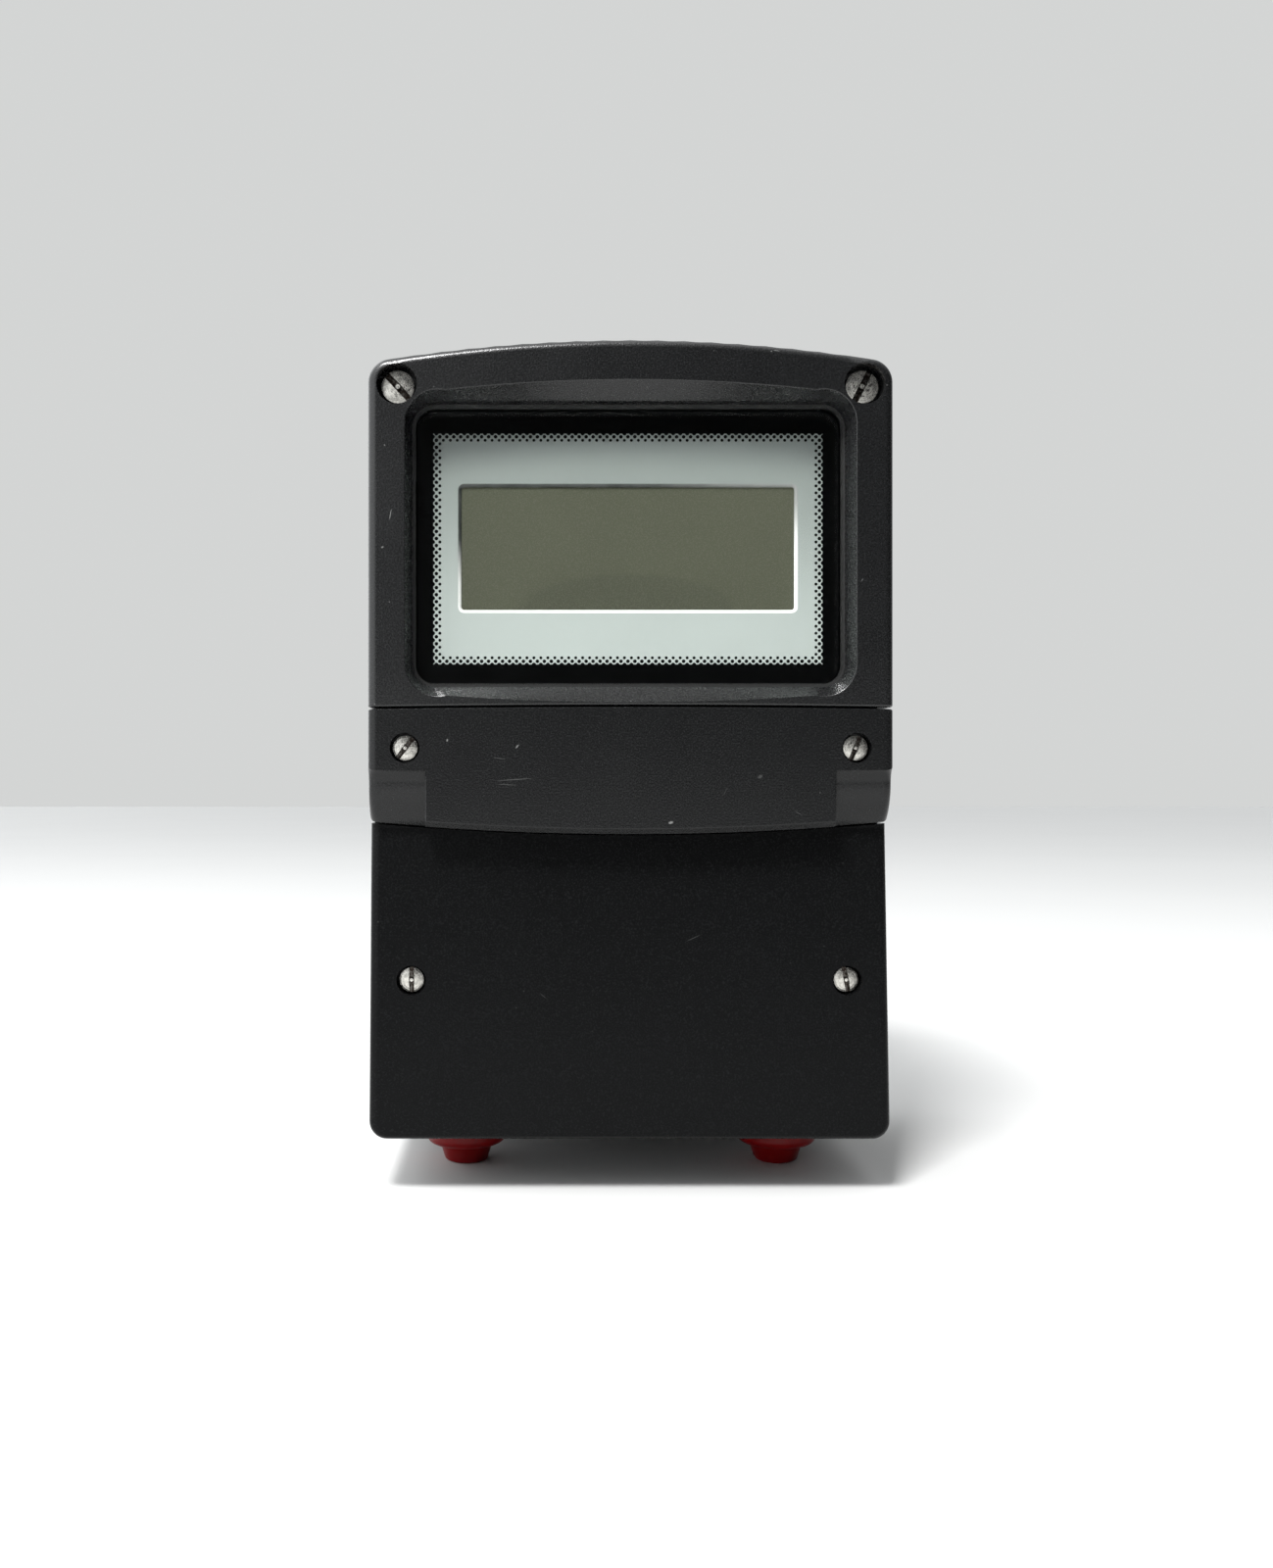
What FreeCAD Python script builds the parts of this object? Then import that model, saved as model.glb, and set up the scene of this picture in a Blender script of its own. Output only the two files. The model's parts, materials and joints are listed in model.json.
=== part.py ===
import FreeCAD, Part
import os
import re
import Sketcher

# Wall instrument housing with a liquid crystal display: a tub with three compartments, three lift-off
# covers held by captive slotted screws, and two screwed blanking plugs in its cable entries.
#
# Frame: millimetres. X runs to the right, Y runs from the front to the back, Z runs up from the surface
# on which the housing stands. X = 0 is the plane of symmetry and Y = 0 is half way through the depth.

SIZES = {
    # whole body
    "body_width": 144.8,
    "body_height": 221.2,
    "body_lift": 15.3,
    "overall_depth": 100.0,
    "crown_radius": 425.0,
    "top_corner": 6.5,
    "bottom_corner": 5.0,
    "front_round": 2.4,
    "back_round": 3.0,
    "wall_thick": 3.5,
    "back_thick": 5.0,
    "cover_depth": 18.0,
    "seam_gap": 0.3,
    "upper_gap": 0.5,
    "lower_gap": 0.6,
    # heights of the seams between the covers, at the centre line
    "upper_seam": 120.15,
    "upper_seam_radius": 4320.0,
    "lower_seam": 84.6,
    "lower_seam_radius": 780.0,
    "upper_partition_low": 116.3,
    "upper_partition_high": 123.5,
    "lower_partition_low": 81.0,
    "lower_partition_high": 91.6,
    # recessed window
    "recess_width": 124.0,
    "recess_low": 123.0,
    "recess_high": 206.9,
    "recess_corner": 9.0,
    "recess_reach": 51.0,
    "recess_top_radius": 455.0,
    "recess_bottom_radius": 700.0,
    "recess_depth": 5.0,
    "window_width": 121.4,
    "window_low": 125.7,
    "window_high": 205.2,
    "window_corner": 6.5,
    "window_lip": 3.0,
    "lens_gap": 1.1,
    "lens_flange": 1.1,
    "lens_flange_thick": 1.4,
    "lens_gasket_thick": 1.0,
    "print_thick": 0.3,
    "display_width": 94.1,
    "display_low": 147.95,
    "display_high": 182.6,
    # the raised nose of the band cover
    "nose_half_width": 56.5,
    "nose_step": 7.9,
    "cove_top": 100.2,
    "cove_bottom": 86.4,
    "nose_bevel": 1.5,
    "nose_round": 0.4,
    "nose_side_bevel": 0.35,
    "brow_depth": 1.7,
    "edge_break": 0.3,
    "lower_edge_round": 0.6,
    "seam_corner": 1.8,
    # terminal cover
    "toe_step": 2.6,
    # captive screws
    "top_screw_across": 64.3,
    "top_screw_height": 208.7,
    "band_screw_across": 62.1,
    "band_screw_height": 108.6,
    "low_screw_across": 60.8,
    "low_screw_height": 43.9,
    "large_head": 9.2,
    "large_head_tall": 3.3,
    "large_shank": 5.0,
    "large_sinking": 11.2,
    "large_recess": 2.9,
    "large_boss": 11.8,
    "boss_web": 3.2,
    "small_head": 7.0,
    "small_head_tall": 2.6,
    "small_shank": 4.0,
    "small_sinking": 8.2,
    "small_recess": 1.4,
    "small_boss": 10.6,
    "head_dome": 0.45,
    "slot_width": 1.3,
    "slot_deep": 1.5,
    "ring_thick": 1.0,
    "ring_play": 0.15,
    "shank_play": 0.5,
    "point_bevel": 0.5,
    "thread_play": 0.05,
    "thread_grip": 9.0,
    "insert_wall": 1.4,
    "insert_sink": 0.2,
    "screw_run_out": 3.0,
    # face seals
    "seal_width": 1.6,
    "seal_inset": 0.9,
    "seal_groove": 1.5,
    "seal_tall": 1.8,
    "seal_play": 0.05,
    # cable entries and their plugs
    "entry_across": 47.0,
    "entry_back": 38.5,
    "collar_width": 27.0,
    "collar_drop": 3.0,
    "entry_bore": 20.0,
    "plug_flange": 24.0,
    "plug_flange_tall": 5.7,
    "plug_flange_round": 2.4,
    "plug_cap_wide": 15.8,
    "plug_cap_narrow": 11.0,
    "plug_cap_tall": 5.6,
    "plug_cap_root": 0.5,
    "plug_cap_root_arc": 3.0,
    "plug_cap_shoulder": 1.4,
    "plug_cap_arc": 4.0,
    "plug_thread_long": 6.5,
    "plug_slot_width": 2.6,
    "plug_slot_deep": 2.2,
    "plug_seal_tall": 1.0,
    # wall plate
    "plate_thick": 3.0,
    "plate_width": 100.0,
    "plate_ear": 16.0,
    "plate_corner": 8.0,
    "mount_across": 80.0,
    "mount_hole": 6.5,
    "mount_inset": 7.5,
    "plate_screw_across": 80.0,
    "plate_screw_low": 40.0,
    "plate_screw_high": 170.0,
    "plate_screw_shank": 5.0,
    "plate_screw_head": 9.0,
    "plate_screw_head_tall": 2.0,
    "plate_screw_hole": 5.6,
    "plate_screw_slot": 1.2,
    "plate_screw_long": 11.0,
    "plate_boss": 11.0,
    "plate_boss_tall": 7.0,
    # circuit boards
    "board_thick": 1.6,
    "board_gap": 10.0,
    "main_board_width": 116.0,
    "main_board_low": 131.0,
    "main_board_high": 199.0,
    "pillar_across": 51.0,
    "pillar_low": 140.5,
    "pillar_high": 189.5,
    "terminal_board_width": 104.0,
    "terminal_board_low": 48.0,
    "terminal_board_high": 78.0,
    "display_board_width": 108.0,
    "display_board_low": 136.0,
    "display_board_high": 194.0,
    "post_width": 5.0,
    "board_screw_head": 5.5,
    "board_screw_tall": 2.2,
    "board_screw_slot": 0.8,
    "display_glass_thick": 2.8,
    "display_light_thick": 3.0,
    "display_rim": 2.6,
    "display_air": 0.4,
    "bezel_wall": 1.4,
    "fixing_hole": 3.4,
    "fixing_thread": 3.0,
    "fixing_thread_long": 6.0,
    "fixing_bore": 3.1,
    "terminal_post_across": 47.0,
    "terminal_post_inset": 4.0,
    # transformer: an outer limb, a window, the leg, a window and an outer limb, all in one stack
    "core_across": -29.0,
    "core_up": 166.0,
    "core_behind": 14.2,
    "core_limb": 8.0,
    "core_leg": 14.0,
    "core_tall": 38.0,
    "core_stack": 16.0,
    "core_window_tall": 23.0,
    "coil_play": 0.5,
    "coil_bore_play": 0.2,
    "coil_swell": 5.7,
    # parts on the main board
    "relay_left": 14.0,
    "relay_low": 152.0,
    "relay_pitch": 20.0,
    "relay_wide": 29.0,
    "relay_deep": 15.7,
    "relay_tall": 12.7,
    "can_across": 2.0,
    "can_low": 150.0,
    "can_pitch": 14.0,
    "can_width": 10.0,
    "can_tall": 20.0,
    "can_crimp": 9.0,
    "chip_deep": 2.0,
    # link and ribbon between the boards
    "link_wide": 24.0,
    "link_thick": 1.2,
    "link_behind": 5.0,
    "link_bite": 2.0,
    "link_socket_wide": 30.0,
    "link_socket_front": 3.0,
    "socket_tall": 6.0,
    "ribbon_up": 182.0,
    "ribbon_wide": 20.0,
    "ribbon_thick": 1.0,
    "ribbon_rise": 6.0,
    "ribbon_bow": 120.0,
    "ribbon_socket_wide": 24.0,
    "ribbon_socket_deep": 8.0,
    "cable_slot_wide": 25.0,
    "cable_slot_deep": 1.8,
    # terminal blocks
    "block_rise": 8.0,
    "block_wire_hole": 3.6,
    "block_wire_behind": 6.0,
    "block_screw_hole": 4.2,
    "block_screw": 4.0,
    "block_screw_sunk": 1.2,
    "block_screw_long": 2.8,
    "block_slot_width": 0.8,
    # earth terminal
    "earth_across": -54.0,
    "earth_up": 30.0,
    "earth_stud": 4.0,
    "earth_stud_long": 12.0,
    "earth_play": 0.1,
    "earth_washer": 9.0,
    "earth_washer_thick": 1.0,
    "earth_nut": 8.0,
    "earth_nut_tall": 3.2,
    # fuse in its holder
    "fuse_behind": 16.0,
    "fuse_rise": 6.2,
    "fuse_base_wide": 30.0,
    "fuse_base_deep": 10.0,
    "fuse_base_tall": 3.0,
    "fuse_clip_long": 5.0,
    "fuse_clip_wide": 8.0,
    "fuse_clip_tall": 8.5,
    "fuse_clip_middle": 8.5,
    "fuse_slit": 4.0,
    "fuse_long": 20.0,
    "fuse_cap_long": 5.0,
    "fuse_cap_width": 5.2,
    "fuse_glass_width": 4.8,
    "fuse_play": 0.1,
}

document = FreeCAD.newDocument("wall_instrument")
sheet = document.addObject("Spreadsheet::Sheet", "Sizes")
for row, (alias, size) in enumerate(SIZES.items(), start=1):
    sheet.set(f"A{row}", alias)
    sheet.set(f"B{row}", str(size))
    sheet.setAlias(f"B{row}", alias)
document.recompute()

NODES = []

# Named places, as formulas of the sheet's sizes.
FRONT = "(-overall_depth / 2)"
BACK = "(overall_depth / 2 - plate_thick)"
RIM = f"({FRONT} + cover_depth)"
COVER_RIM = f"({RIM} - seam_gap)"
FLOOR = f"({BACK} - back_thick)"
HALF = "(body_width / 2)"
CROWN = "(body_lift + body_height)"
SHOULDER = f"({CROWN} - crown_radius + sqrt(crown_radius ^ 2 - {HALF} ^ 2))"
INNER_HALF = f"({HALF} - wall_thick)"
INNER_CROWN = f"({CROWN} - wall_thick)"
INNER_RADIUS = "(crown_radius - wall_thick)"
INNER_SHOULDER = f"({INNER_CROWN} - {INNER_RADIUS} + sqrt({INNER_RADIUS} ^ 2 - {INNER_HALF} ^ 2))"
UPPER_SEAM = "(body_lift + upper_seam)"
UPPER_SEAM_SIDE = f"({UPPER_SEAM} - {HALF} ^ 2 / (2 * upper_seam_radius))"
LOWER_SEAM = "(body_lift + lower_seam)"
LOWER_SEAM_SIDE = f"({LOWER_SEAM} + {HALF} ^ 2 / (2 * lower_seam_radius))"
WINDOW_BACK = f"({FRONT} + recess_depth + window_lip)"
LENS_BACK = f"({WINDOW_BACK} + lens_gasket_thick + lens_flange_thick)"
GLASS_FRONT = f"({LENS_BACK} + print_thick + display_air)"
DISPLAY_BOARD = f"({GLASS_FRONT} + display_glass_thick + display_light_thick)"
BOARD = f"({FLOOR} - board_gap - board_thick)"
UNDERSIDE = "body_lift"
# The cove is an arc that ends upright on the terminal cover's plane. The brow above it is an arc that
# meets the cove and the front plane without a kink. COVE_COSINE is of the angle where the two meet.
COVE_LOW = "(body_lift + cove_bottom)"
COVE_RADIUS = "((nose_step ^ 2 + (cove_top - cove_bottom) ^ 2) / (2 * nose_step))"
COVE_COSINE = f"((brow_depth + {COVE_RADIUS} - nose_step) / {COVE_RADIUS})"
COVE_SINE = f"sqrt(1 - {COVE_COSINE} ^ 2)"
BROW_RADIUS = f"(brow_depth / (1 - {COVE_COSINE}))"
BROW_LOW = f"({COVE_LOW} + {COVE_RADIUS} * {COVE_SINE})"
BROW_HIGH = f"({BROW_LOW} + {BROW_RADIUS} * {COVE_SINE})"


# ---------------------------------------------------------------- helpers

def formula(text):
    """Put the sheet's name before each size that a formula names."""
    return re.sub(r"[a-z]+(?:_[a-z]+)+", lambda found: "Sizes." + found.group(0), str(text))


def value(text):
    """The number that a formula gives."""
    return float(sheet.evalExpression(formula(text)))


def bind(thing, **formulas):
    """Bind properties to formulas. A double underscore in a name stands for a dot."""
    for name, text in formulas.items():
        thing.setExpression(name.replace("__", "."), formula(text))
    return thing


def node(thing, name):
    """Give an object the name of its file and keep it for export."""
    thing.Label = name
    NODES.append(thing)
    return thing


def body(name):
    return node(document.addObject("PartDesign::Body", name), name)


def sketch_on(owner, name, plane, offset):
    """A sketch on one of its body's own planes, moved by a formula along the plane's normal."""
    sketch = owner.newObject("Sketcher::SketchObject", name)
    datum = [part for part in owner.Origin.OriginFeatures if part.Role == plane][0]
    sketch.AttachmentSupport = (datum, [""])
    sketch.MapMode = "FlatFace"
    bind(sketch, AttachmentOffset__Base__z=offset)
    return sketch


def front_sketch(owner, name, depth):
    """A sketch seen from the front, across in X and up in Z, at a place along Y."""
    return sketch_on(owner, name, "XZ_Plane", f"-({depth})")


def fix(sketch, kind, *where):
    """Add a sketch constraint whose size is a formula, given last."""
    text = where[-1]
    index = sketch.addConstraint(Sketcher.Constraint(kind, *where[:-1], value(text)))
    sketch.setExpression(f"Constraints[{index}]", formula(text))


def fix_point(sketch, shape, end, across, up):
    fix(sketch, "DistanceX", -1, 1, shape, end, across)
    fix(sketch, "DistanceY", -1, 1, shape, end, up)


def outline(sketch, corners):
    """Draw a closed outline, counter-clockwise. A corner is (across, up) or (across, up, radius): the
    radius bends the stretch to the next corner outwards, or inwards where the formula is negative."""
    places = [FreeCAD.Vector(value(corner[0]), value(corner[1]), 0) for corner in corners]
    stretches = []
    for index, corner in enumerate(corners):
        start = places[index]
        end = places[(index + 1) % len(places)]
        if len(corner) == 2:
            shape = sketch.addGeometry(Part.LineSegment(start, end), False)
            stretches.append((shape, 1, 2))
            continue
        radius = value(corner[2])
        half = (end - start).Length / 2
        rise = abs(radius) - (radius ** 2 - half ** 2) ** 0.5
        outward = FreeCAD.Vector(end.y - start.y, start.x - end.x, 0).normalize()
        middle = (start + end) / 2 + outward * (rise if radius > 0 else -rise)
        shape = sketch.addGeometry(Part.Arc(start, middle, end), False)
        fix(sketch, "Radius", shape, f"abs({corner[2]})")
        stretches.append((shape, 1, 2) if radius > 0 else (shape, 2, 1))
    for index, (shape, first, last) in enumerate(stretches):
        fix_point(sketch, shape, first, *corners[index][:2])
        before, before_first, before_last = stretches[index - 1]
        sketch.addConstraint(Sketcher.Constraint("Coincident", before, before_last, shape, first))
    return sketch


def circle(sketch, across, up, diameter):
    place = FreeCAD.Vector(value(across), value(up), 0)
    normal = FreeCAD.Vector(0, 0, 1)
    shape = sketch.addGeometry(Part.Circle(place, normal, value(diameter) / 2), False)
    fix(sketch, "Radius", shape, f"({diameter}) / 2")
    fix_point(sketch, shape, 3, across, up)
    return sketch


def rectangle(sketch, left, right, low, high):
    return outline(sketch, [(left, low), (right, low), (right, high), (left, high)])


def feature(owner, kind, name, sketch, backwards, **formulas):
    """Add a sketched feature and make sure that it changed the body's volume."""
    before = owner.Shape.Volume if owner.Tip else 0.0
    made = owner.newObject(f"PartDesign::{kind}", name)
    made.Profile = sketch
    made.Reversed = backwards
    bind(made, **formulas)
    document.recompute()
    change = made.Shape.Volume - before
    adds = kind in ("Pad", "Revolution")
    if (change <= 0.001) if adds else (change >= -0.001):
        raise RuntimeError(f"{owner.Label}: {name} changed the volume by {change:.3f}")
    return made


def pad(owner, name, sketch, length, backwards=True):
    """Pad a front sketch towards the back, or towards the front with backwards=False."""
    return feature(owner, "Pad", name, sketch, backwards, Length=length)


def pocket(owner, name, sketch, length, towards_front=False):
    return feature(owner, "Pocket", name, sketch, towards_front, Length=length)


def edges_where(owner, test):
    """Names of the edges of a body's last feature that pass a test of their bounding box."""
    return [f"Edge{number}" for number, edge in enumerate(owner.Tip.Shape.Edges, start=1)
            if test(edge.BoundBox)]


def dress(owner, kind, name, size, test):
    """Fillet or chamfer the edges that pass a test."""
    names = edges_where(owner, test)
    if not names:
        raise RuntimeError(f"{owner.Label}: no edge for {name}")
    made = owner.newObject(f"PartDesign::{kind}", name)
    made.Base = (owner.Tip if owner.Tip != made else made.BaseFeature, names)
    bind(made, **{"Radius" if kind == "Fillet" else "Size": size})
    document.recompute()
    if "Invalid" in made.State or made.Shape.isNull():
        raise RuntimeError(f"{owner.Label}: {name} failed")
    return made


def near(one, other, slack=0.02):
    return abs(one - other) < slack


def along_y(box):
    return near(box.XLength, 0) and near(box.ZLength, 0) and box.YLength > 0.1


def along_y_at(across, up):
    """A test for edges that run from front to back at (±across, up)."""
    wide, high = value(across), value(up)
    return lambda box: along_y(box) and near(abs(box.XMin), wide) and near(box.ZMin, high)


def in_plane_y(depth):
    """A test for edges that lie in the plane at one depth."""
    place = value(depth)
    return lambda box: near(box.YMin, place) and near(box.YMax, place)


# ---------------------------------------------------------------- outlines shared by several pieces

def whole_body(sketch):
    return outline(sketch, [
        (f"-{HALF}", UNDERSIDE),
        (HALF, UNDERSIDE),
        (HALF, SHOULDER, "crown_radius"),
        (f"-{HALF}", SHOULDER)])


def upper_mouth(sketch, grow):
    """Mouth of the display compartment, made larger all round by a formula."""
    wide = f"({INNER_HALF} + {grow})"
    radius = f"({INNER_RADIUS} + {grow})"
    high = f"({INNER_CROWN} + {grow} - {radius} + sqrt({radius} ^ 2 - {wide} ^ 2))"
    low = f"(body_lift + upper_partition_high - {grow})"
    return outline(sketch, [(f"-{wide}", low), (wide, low), (wide, high, radius), (f"-{wide}", high)])


def band_mouth(sketch, grow):
    wide = f"({INNER_HALF} + {grow})"
    low = f"(body_lift + lower_partition_high - {grow})"
    high = f"(body_lift + upper_partition_low + {grow})"
    return rectangle(sketch, f"-{wide}", wide, low, high)


def lower_mouth(sketch, grow):
    wide = f"({INNER_HALF} + {grow})"
    low = f"(body_lift + wall_thick - {grow})"
    high = f"(body_lift + lower_partition_low + {grow})"
    return rectangle(sketch, f"-{wide}", wide, low, high)


MOUTHS = {"upper": upper_mouth, "band": band_mouth, "lower": lower_mouth}
SEAL_INNER = "seal_inset"
SEAL_OUTER = "(seal_inset + seal_width)"

FASTENERS = {
    # cover: size, across, up, face that the head is sunk into, slot angles (left, right) in degrees
    "display": ("large", "top_screw_across", "body_lift + top_screw_height", FRONT, (-47, 63)),
    "band": ("small", "band_screw_across", "body_lift + band_screw_height", FRONT, (52, 68)),
    "terminal": ("small", "low_screw_across", "body_lift + low_screw_height",
                 f"({FRONT} + toe_step + (nose_step - toe_step) * low_screw_height / cove_bottom)",
                 (90, 100)),
}
SIDES = {"left": -1, "right": 1}


def screw_size(kind):
    return FASTENERS[kind][0]


def screw_face(kind):
    return FASTENERS[kind][3]


def screw_places(kind):
    """Side name, across, up and slot angle of a cover's two screws."""
    size, across, up, face, angles = FASTENERS[kind]
    return [(side, f"({sign} * {across})", f"({up})", angle)
            for (side, sign), angle in zip(SIDES.items(), angles)]


def head_seat(kind):
    """Depth of the underside of a screw's head, where the head rests on its ring."""
    size = screw_size(kind)
    return f"({screw_face(kind)} + {size}_recess + {size}_head_tall)"


# ---------------------------------------------------------------- primitives for the plain inner pieces

def box(name, left, front, low, wide, deep, tall):
    """A block, from its left, front and low corner."""
    made = document.addObject("Part::Box", name)
    bind(made, Length=wide, Width=deep, Height=tall)
    return bind(made, Placement__Base__x=left, Placement__Base__y=front, Placement__Base__z=low)


TURNS = {
    "forward": FreeCAD.Rotation(FreeCAD.Vector(1, 0, 0), 90),
    "backward": FreeCAD.Rotation(FreeCAD.Vector(1, 0, 0), -90),
    "up": FreeCAD.Rotation(),
    "down": FreeCAD.Rotation(FreeCAD.Vector(1, 0, 0), 180),
    "right": FreeCAD.Rotation(FreeCAD.Vector(0, 1, 0), 90),
}


def set_down(thing, across, deep, up, way, turn=0.0):
    """Place a thing whose own Z axis is to point one way, turned about that axis by some degrees."""
    spin_about_own_axis = FreeCAD.Rotation(FreeCAD.Vector(0, 0, 1), turn)
    thing.Placement = FreeCAD.Placement(FreeCAD.Vector(), TURNS[way].multiply(spin_about_own_axis))
    return bind(thing, Placement__Base__x=across, Placement__Base__y=deep, Placement__Base__z=up)


def rod(name, across, deep, up, diameter, length, way="forward"):
    """A cylinder that starts at a place and runs one way."""
    made = document.addObject("Part::Cylinder", name)
    bind(made, Radius=f"({diameter}) / 2", Height=length)
    return set_down(made, across, deep, up, way)


def cone(name, across, deep, up, start, end, length, way):
    made = document.addObject("Part::Cone", name)
    bind(made, Radius1=f"({start}) / 2", Radius2=f"({end}) / 2", Height=length)
    return set_down(made, across, deep, up, way)


def fuse(name, shapes):
    made = document.addObject("Part::MultiFuse", name)
    made.Shapes = shapes
    return made


def cut(name, base, tools):
    made = document.addObject("Part::Cut", name)
    made.Base = base
    made.Tool = tools[0] if len(tools) == 1 else fuse(f"{name}_tools", tools)
    return made


def group(name, things):
    """Identical pieces that share a node as separate solids."""
    made = document.addObject("Part::Compound", name)
    made.Links = things
    return node(made, name)


def soften(name, base, radius, test):
    """Round the edges of a primitive that pass a test of their bounding box."""
    document.recompute()
    made = document.addObject("Part::Fillet", name)
    made.Base = base
    made.Edges = [(number, radius, radius) for number, edge in enumerate(base.Shape.Edges, start=1)
                  if test(edge.BoundBox)]
    return made


# ---------------------------------------------------------------- the housing and what is fixed to it

def boss(owner, kind, start, front, name, webs=True):
    """Pad a cover's two screw bosses from one depth forwards to another, with webs to the side walls."""
    size = screw_size(kind)
    bosses = front_sketch(owner, f"{name}_outline", start)
    for side, x, z, angle in screw_places(kind):
        circle(bosses, x, z, f"{size}_boss")
    pad(owner, name, bosses, f"{start} - {front}", backwards=False)
    if not webs:
        return
    web_outline = front_sketch(owner, f"{name}_web_outline", start)
    into_wall = f"({INNER_HALF} + 1)"
    for side, x, z, angle in screw_places(kind):
        left, right = (f"-{into_wall}", x) if side == "left" else (x, into_wall)
        rectangle(web_outline, left, right, f"{z} - boss_web / 2", f"{z} + boss_web / 2")
    pad(owner, f"{name}_webs", web_outline, f"{start} - {front}", backwards=False)


def bore(owner, kind, name, depth, diameter, length):
    """Pocket a cover's two screw holes from one depth backwards."""
    holes = front_sketch(owner, f"{name}_outline", depth)
    for side, x, z, angle in screw_places(kind):
        circle(holes, x, z, diameter)
    pocket(owner, name, holes, length)


def entry_places():
    return [(side, f"({sign} * entry_across)") for side, sign in SIDES.items()]


ENTRY_DEEP = f"({FRONT} + entry_back)"
INSERT_SINK = "insert_sink"
INSERT_FACE = f"({RIM} + {INSERT_SINK})"
INSERT_LONG = "(thread_grip + 1)"


def insert_width(size):
    return f"({size}_shank + 2 * thread_play + 2 * insert_wall)"


def seal_groove(owner, name):
    groove = front_sketch(owner, f"{name}_groove_outline", RIM)
    MOUTHS[name](groove, SEAL_OUTER)
    MOUTHS[name](groove, SEAL_INNER)
    pocket(owner, f"{name}_groove", groove, "seal_groove")


def entry_collars(owner):
    collars = sketch_on(owner, "collar_outline", "XY_Plane", "body_lift + 1")
    for side, x in entry_places():
        circle(collars, x, ENTRY_DEEP, "collar_width")
    feature(owner, "Pad", "collars", collars, True, Length="collar_drop + 1")
    bores = sketch_on(owner, "entry_outline", "XY_Plane", "body_lift - collar_drop")
    for side, x in entry_places():
        circle(bores, x, ENTRY_DEEP, "entry_bore")
    feature(owner, "Pocket", "entries", bores, True, Length="collar_drop + wall_thick + 1")


def plate_screw_places():
    return [(x, f"(body_lift + {z})") for x in ("(plate_screw_across / 2)", "(-plate_screw_across / 2)")
            for z in ("plate_screw_low", "plate_screw_high")]


def plate_bosses(owner):
    bosses = front_sketch(owner, "plate_boss_outline", f"{FLOOR} + 1")
    for x, z in plate_screw_places():
        circle(bosses, x, z, "plate_boss")
    pad(owner, "plate_bosses", bosses, "plate_boss_tall + 1", backwards=False)
    holes = front_sketch(owner, "plate_screw_outline", BACK)
    for x, z in plate_screw_places():
        circle(holes, x, z, "plate_screw_shank + 2 * thread_play")
    pocket(owner, "plate_screw_holes", holes, "plate_screw_long - plate_thick + 1", towards_front=True)


def rear_housing():
    housing = body("rear_housing")
    pad(housing, "shell", whole_body(front_sketch(housing, "shell_outline", RIM)), f"{BACK} - {RIM}")
    dress(housing, "Fillet", "shell_top_corners", "top_corner", along_y_at(HALF, SHOULDER))
    dress(housing, "Fillet", "shell_bottom_corners", "bottom_corner", along_y_at(HALF, UNDERSIDE))
    dress(housing, "Fillet", "shell_back_edge", "back_round", in_plane_y(BACK))
    for name, mouth in MOUTHS.items():
        opening = mouth(front_sketch(housing, f"{name}_mouth", RIM), "0")
        pocket(housing, f"{name}_compartment", opening, f"{FLOOR} - {RIM}")
    for kind in FASTENERS:
        boss(housing, kind, f"({FLOOR} + 1)", RIM, f"{kind}_bosses", webs=kind != "display")
    for name in MOUTHS:
        seal_groove(housing, name)
    for kind in FASTENERS:
        size = screw_size(kind)
        bore(housing, kind, f"{kind}_insert_holes", RIM, insert_width(size), f"{INSERT_SINK} + {INSERT_LONG}")
        bore(housing, kind, f"{kind}_screw_holes", RIM, f"{size}_shank + shank_play",
             f"{INSERT_LONG} + screw_run_out")
    slots = front_sketch(housing, "cable_slot_outline", f"({LINK_DEEP} - (cable_slot_deep - link_thick) / 2)")
    rectangle(slots, "-cable_slot_wide / 2", "cable_slot_wide / 2",
              "body_lift + lower_partition_low - 1", "body_lift + upper_partition_high + 1")
    pocket(housing, "cable_slots", slots, "cable_slot_deep")
    entry_collars(housing)
    plate_bosses(housing)


def seals():
    for name in MOUTHS:
        seal = body(f"{name}_seal")
        ring = front_sketch(seal, "ring", f"({RIM} + seal_groove - seal_tall)")
        MOUTHS[name](ring, f"({SEAL_OUTER} - seal_play)")
        MOUTHS[name](ring, f"({SEAL_INNER} + seal_play)")
        pad(seal, "seal", ring, "seal_tall")


def cover_screw_inserts():
    inserts = []
    for kind in FASTENERS:
        size = screw_size(kind)
        for side, x, z, angle in screw_places(kind):
            name = f"{kind}_{side}_insert"
            tube = rod(f"{name}_tube", x, INSERT_FACE, z, insert_width(size), INSERT_LONG, "backward")
            hole = rod(f"{name}_hole", x, f"{INSERT_FACE} - 1", z, f"{size}_shank + 2 * thread_play",
                       f"{INSERT_LONG} + 2", "backward")
            inserts.append(cut(name, tube, [hole]))
    group("cover_screw_inserts", inserts)


PLATE_BACK = "(overall_depth / 2)"


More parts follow.
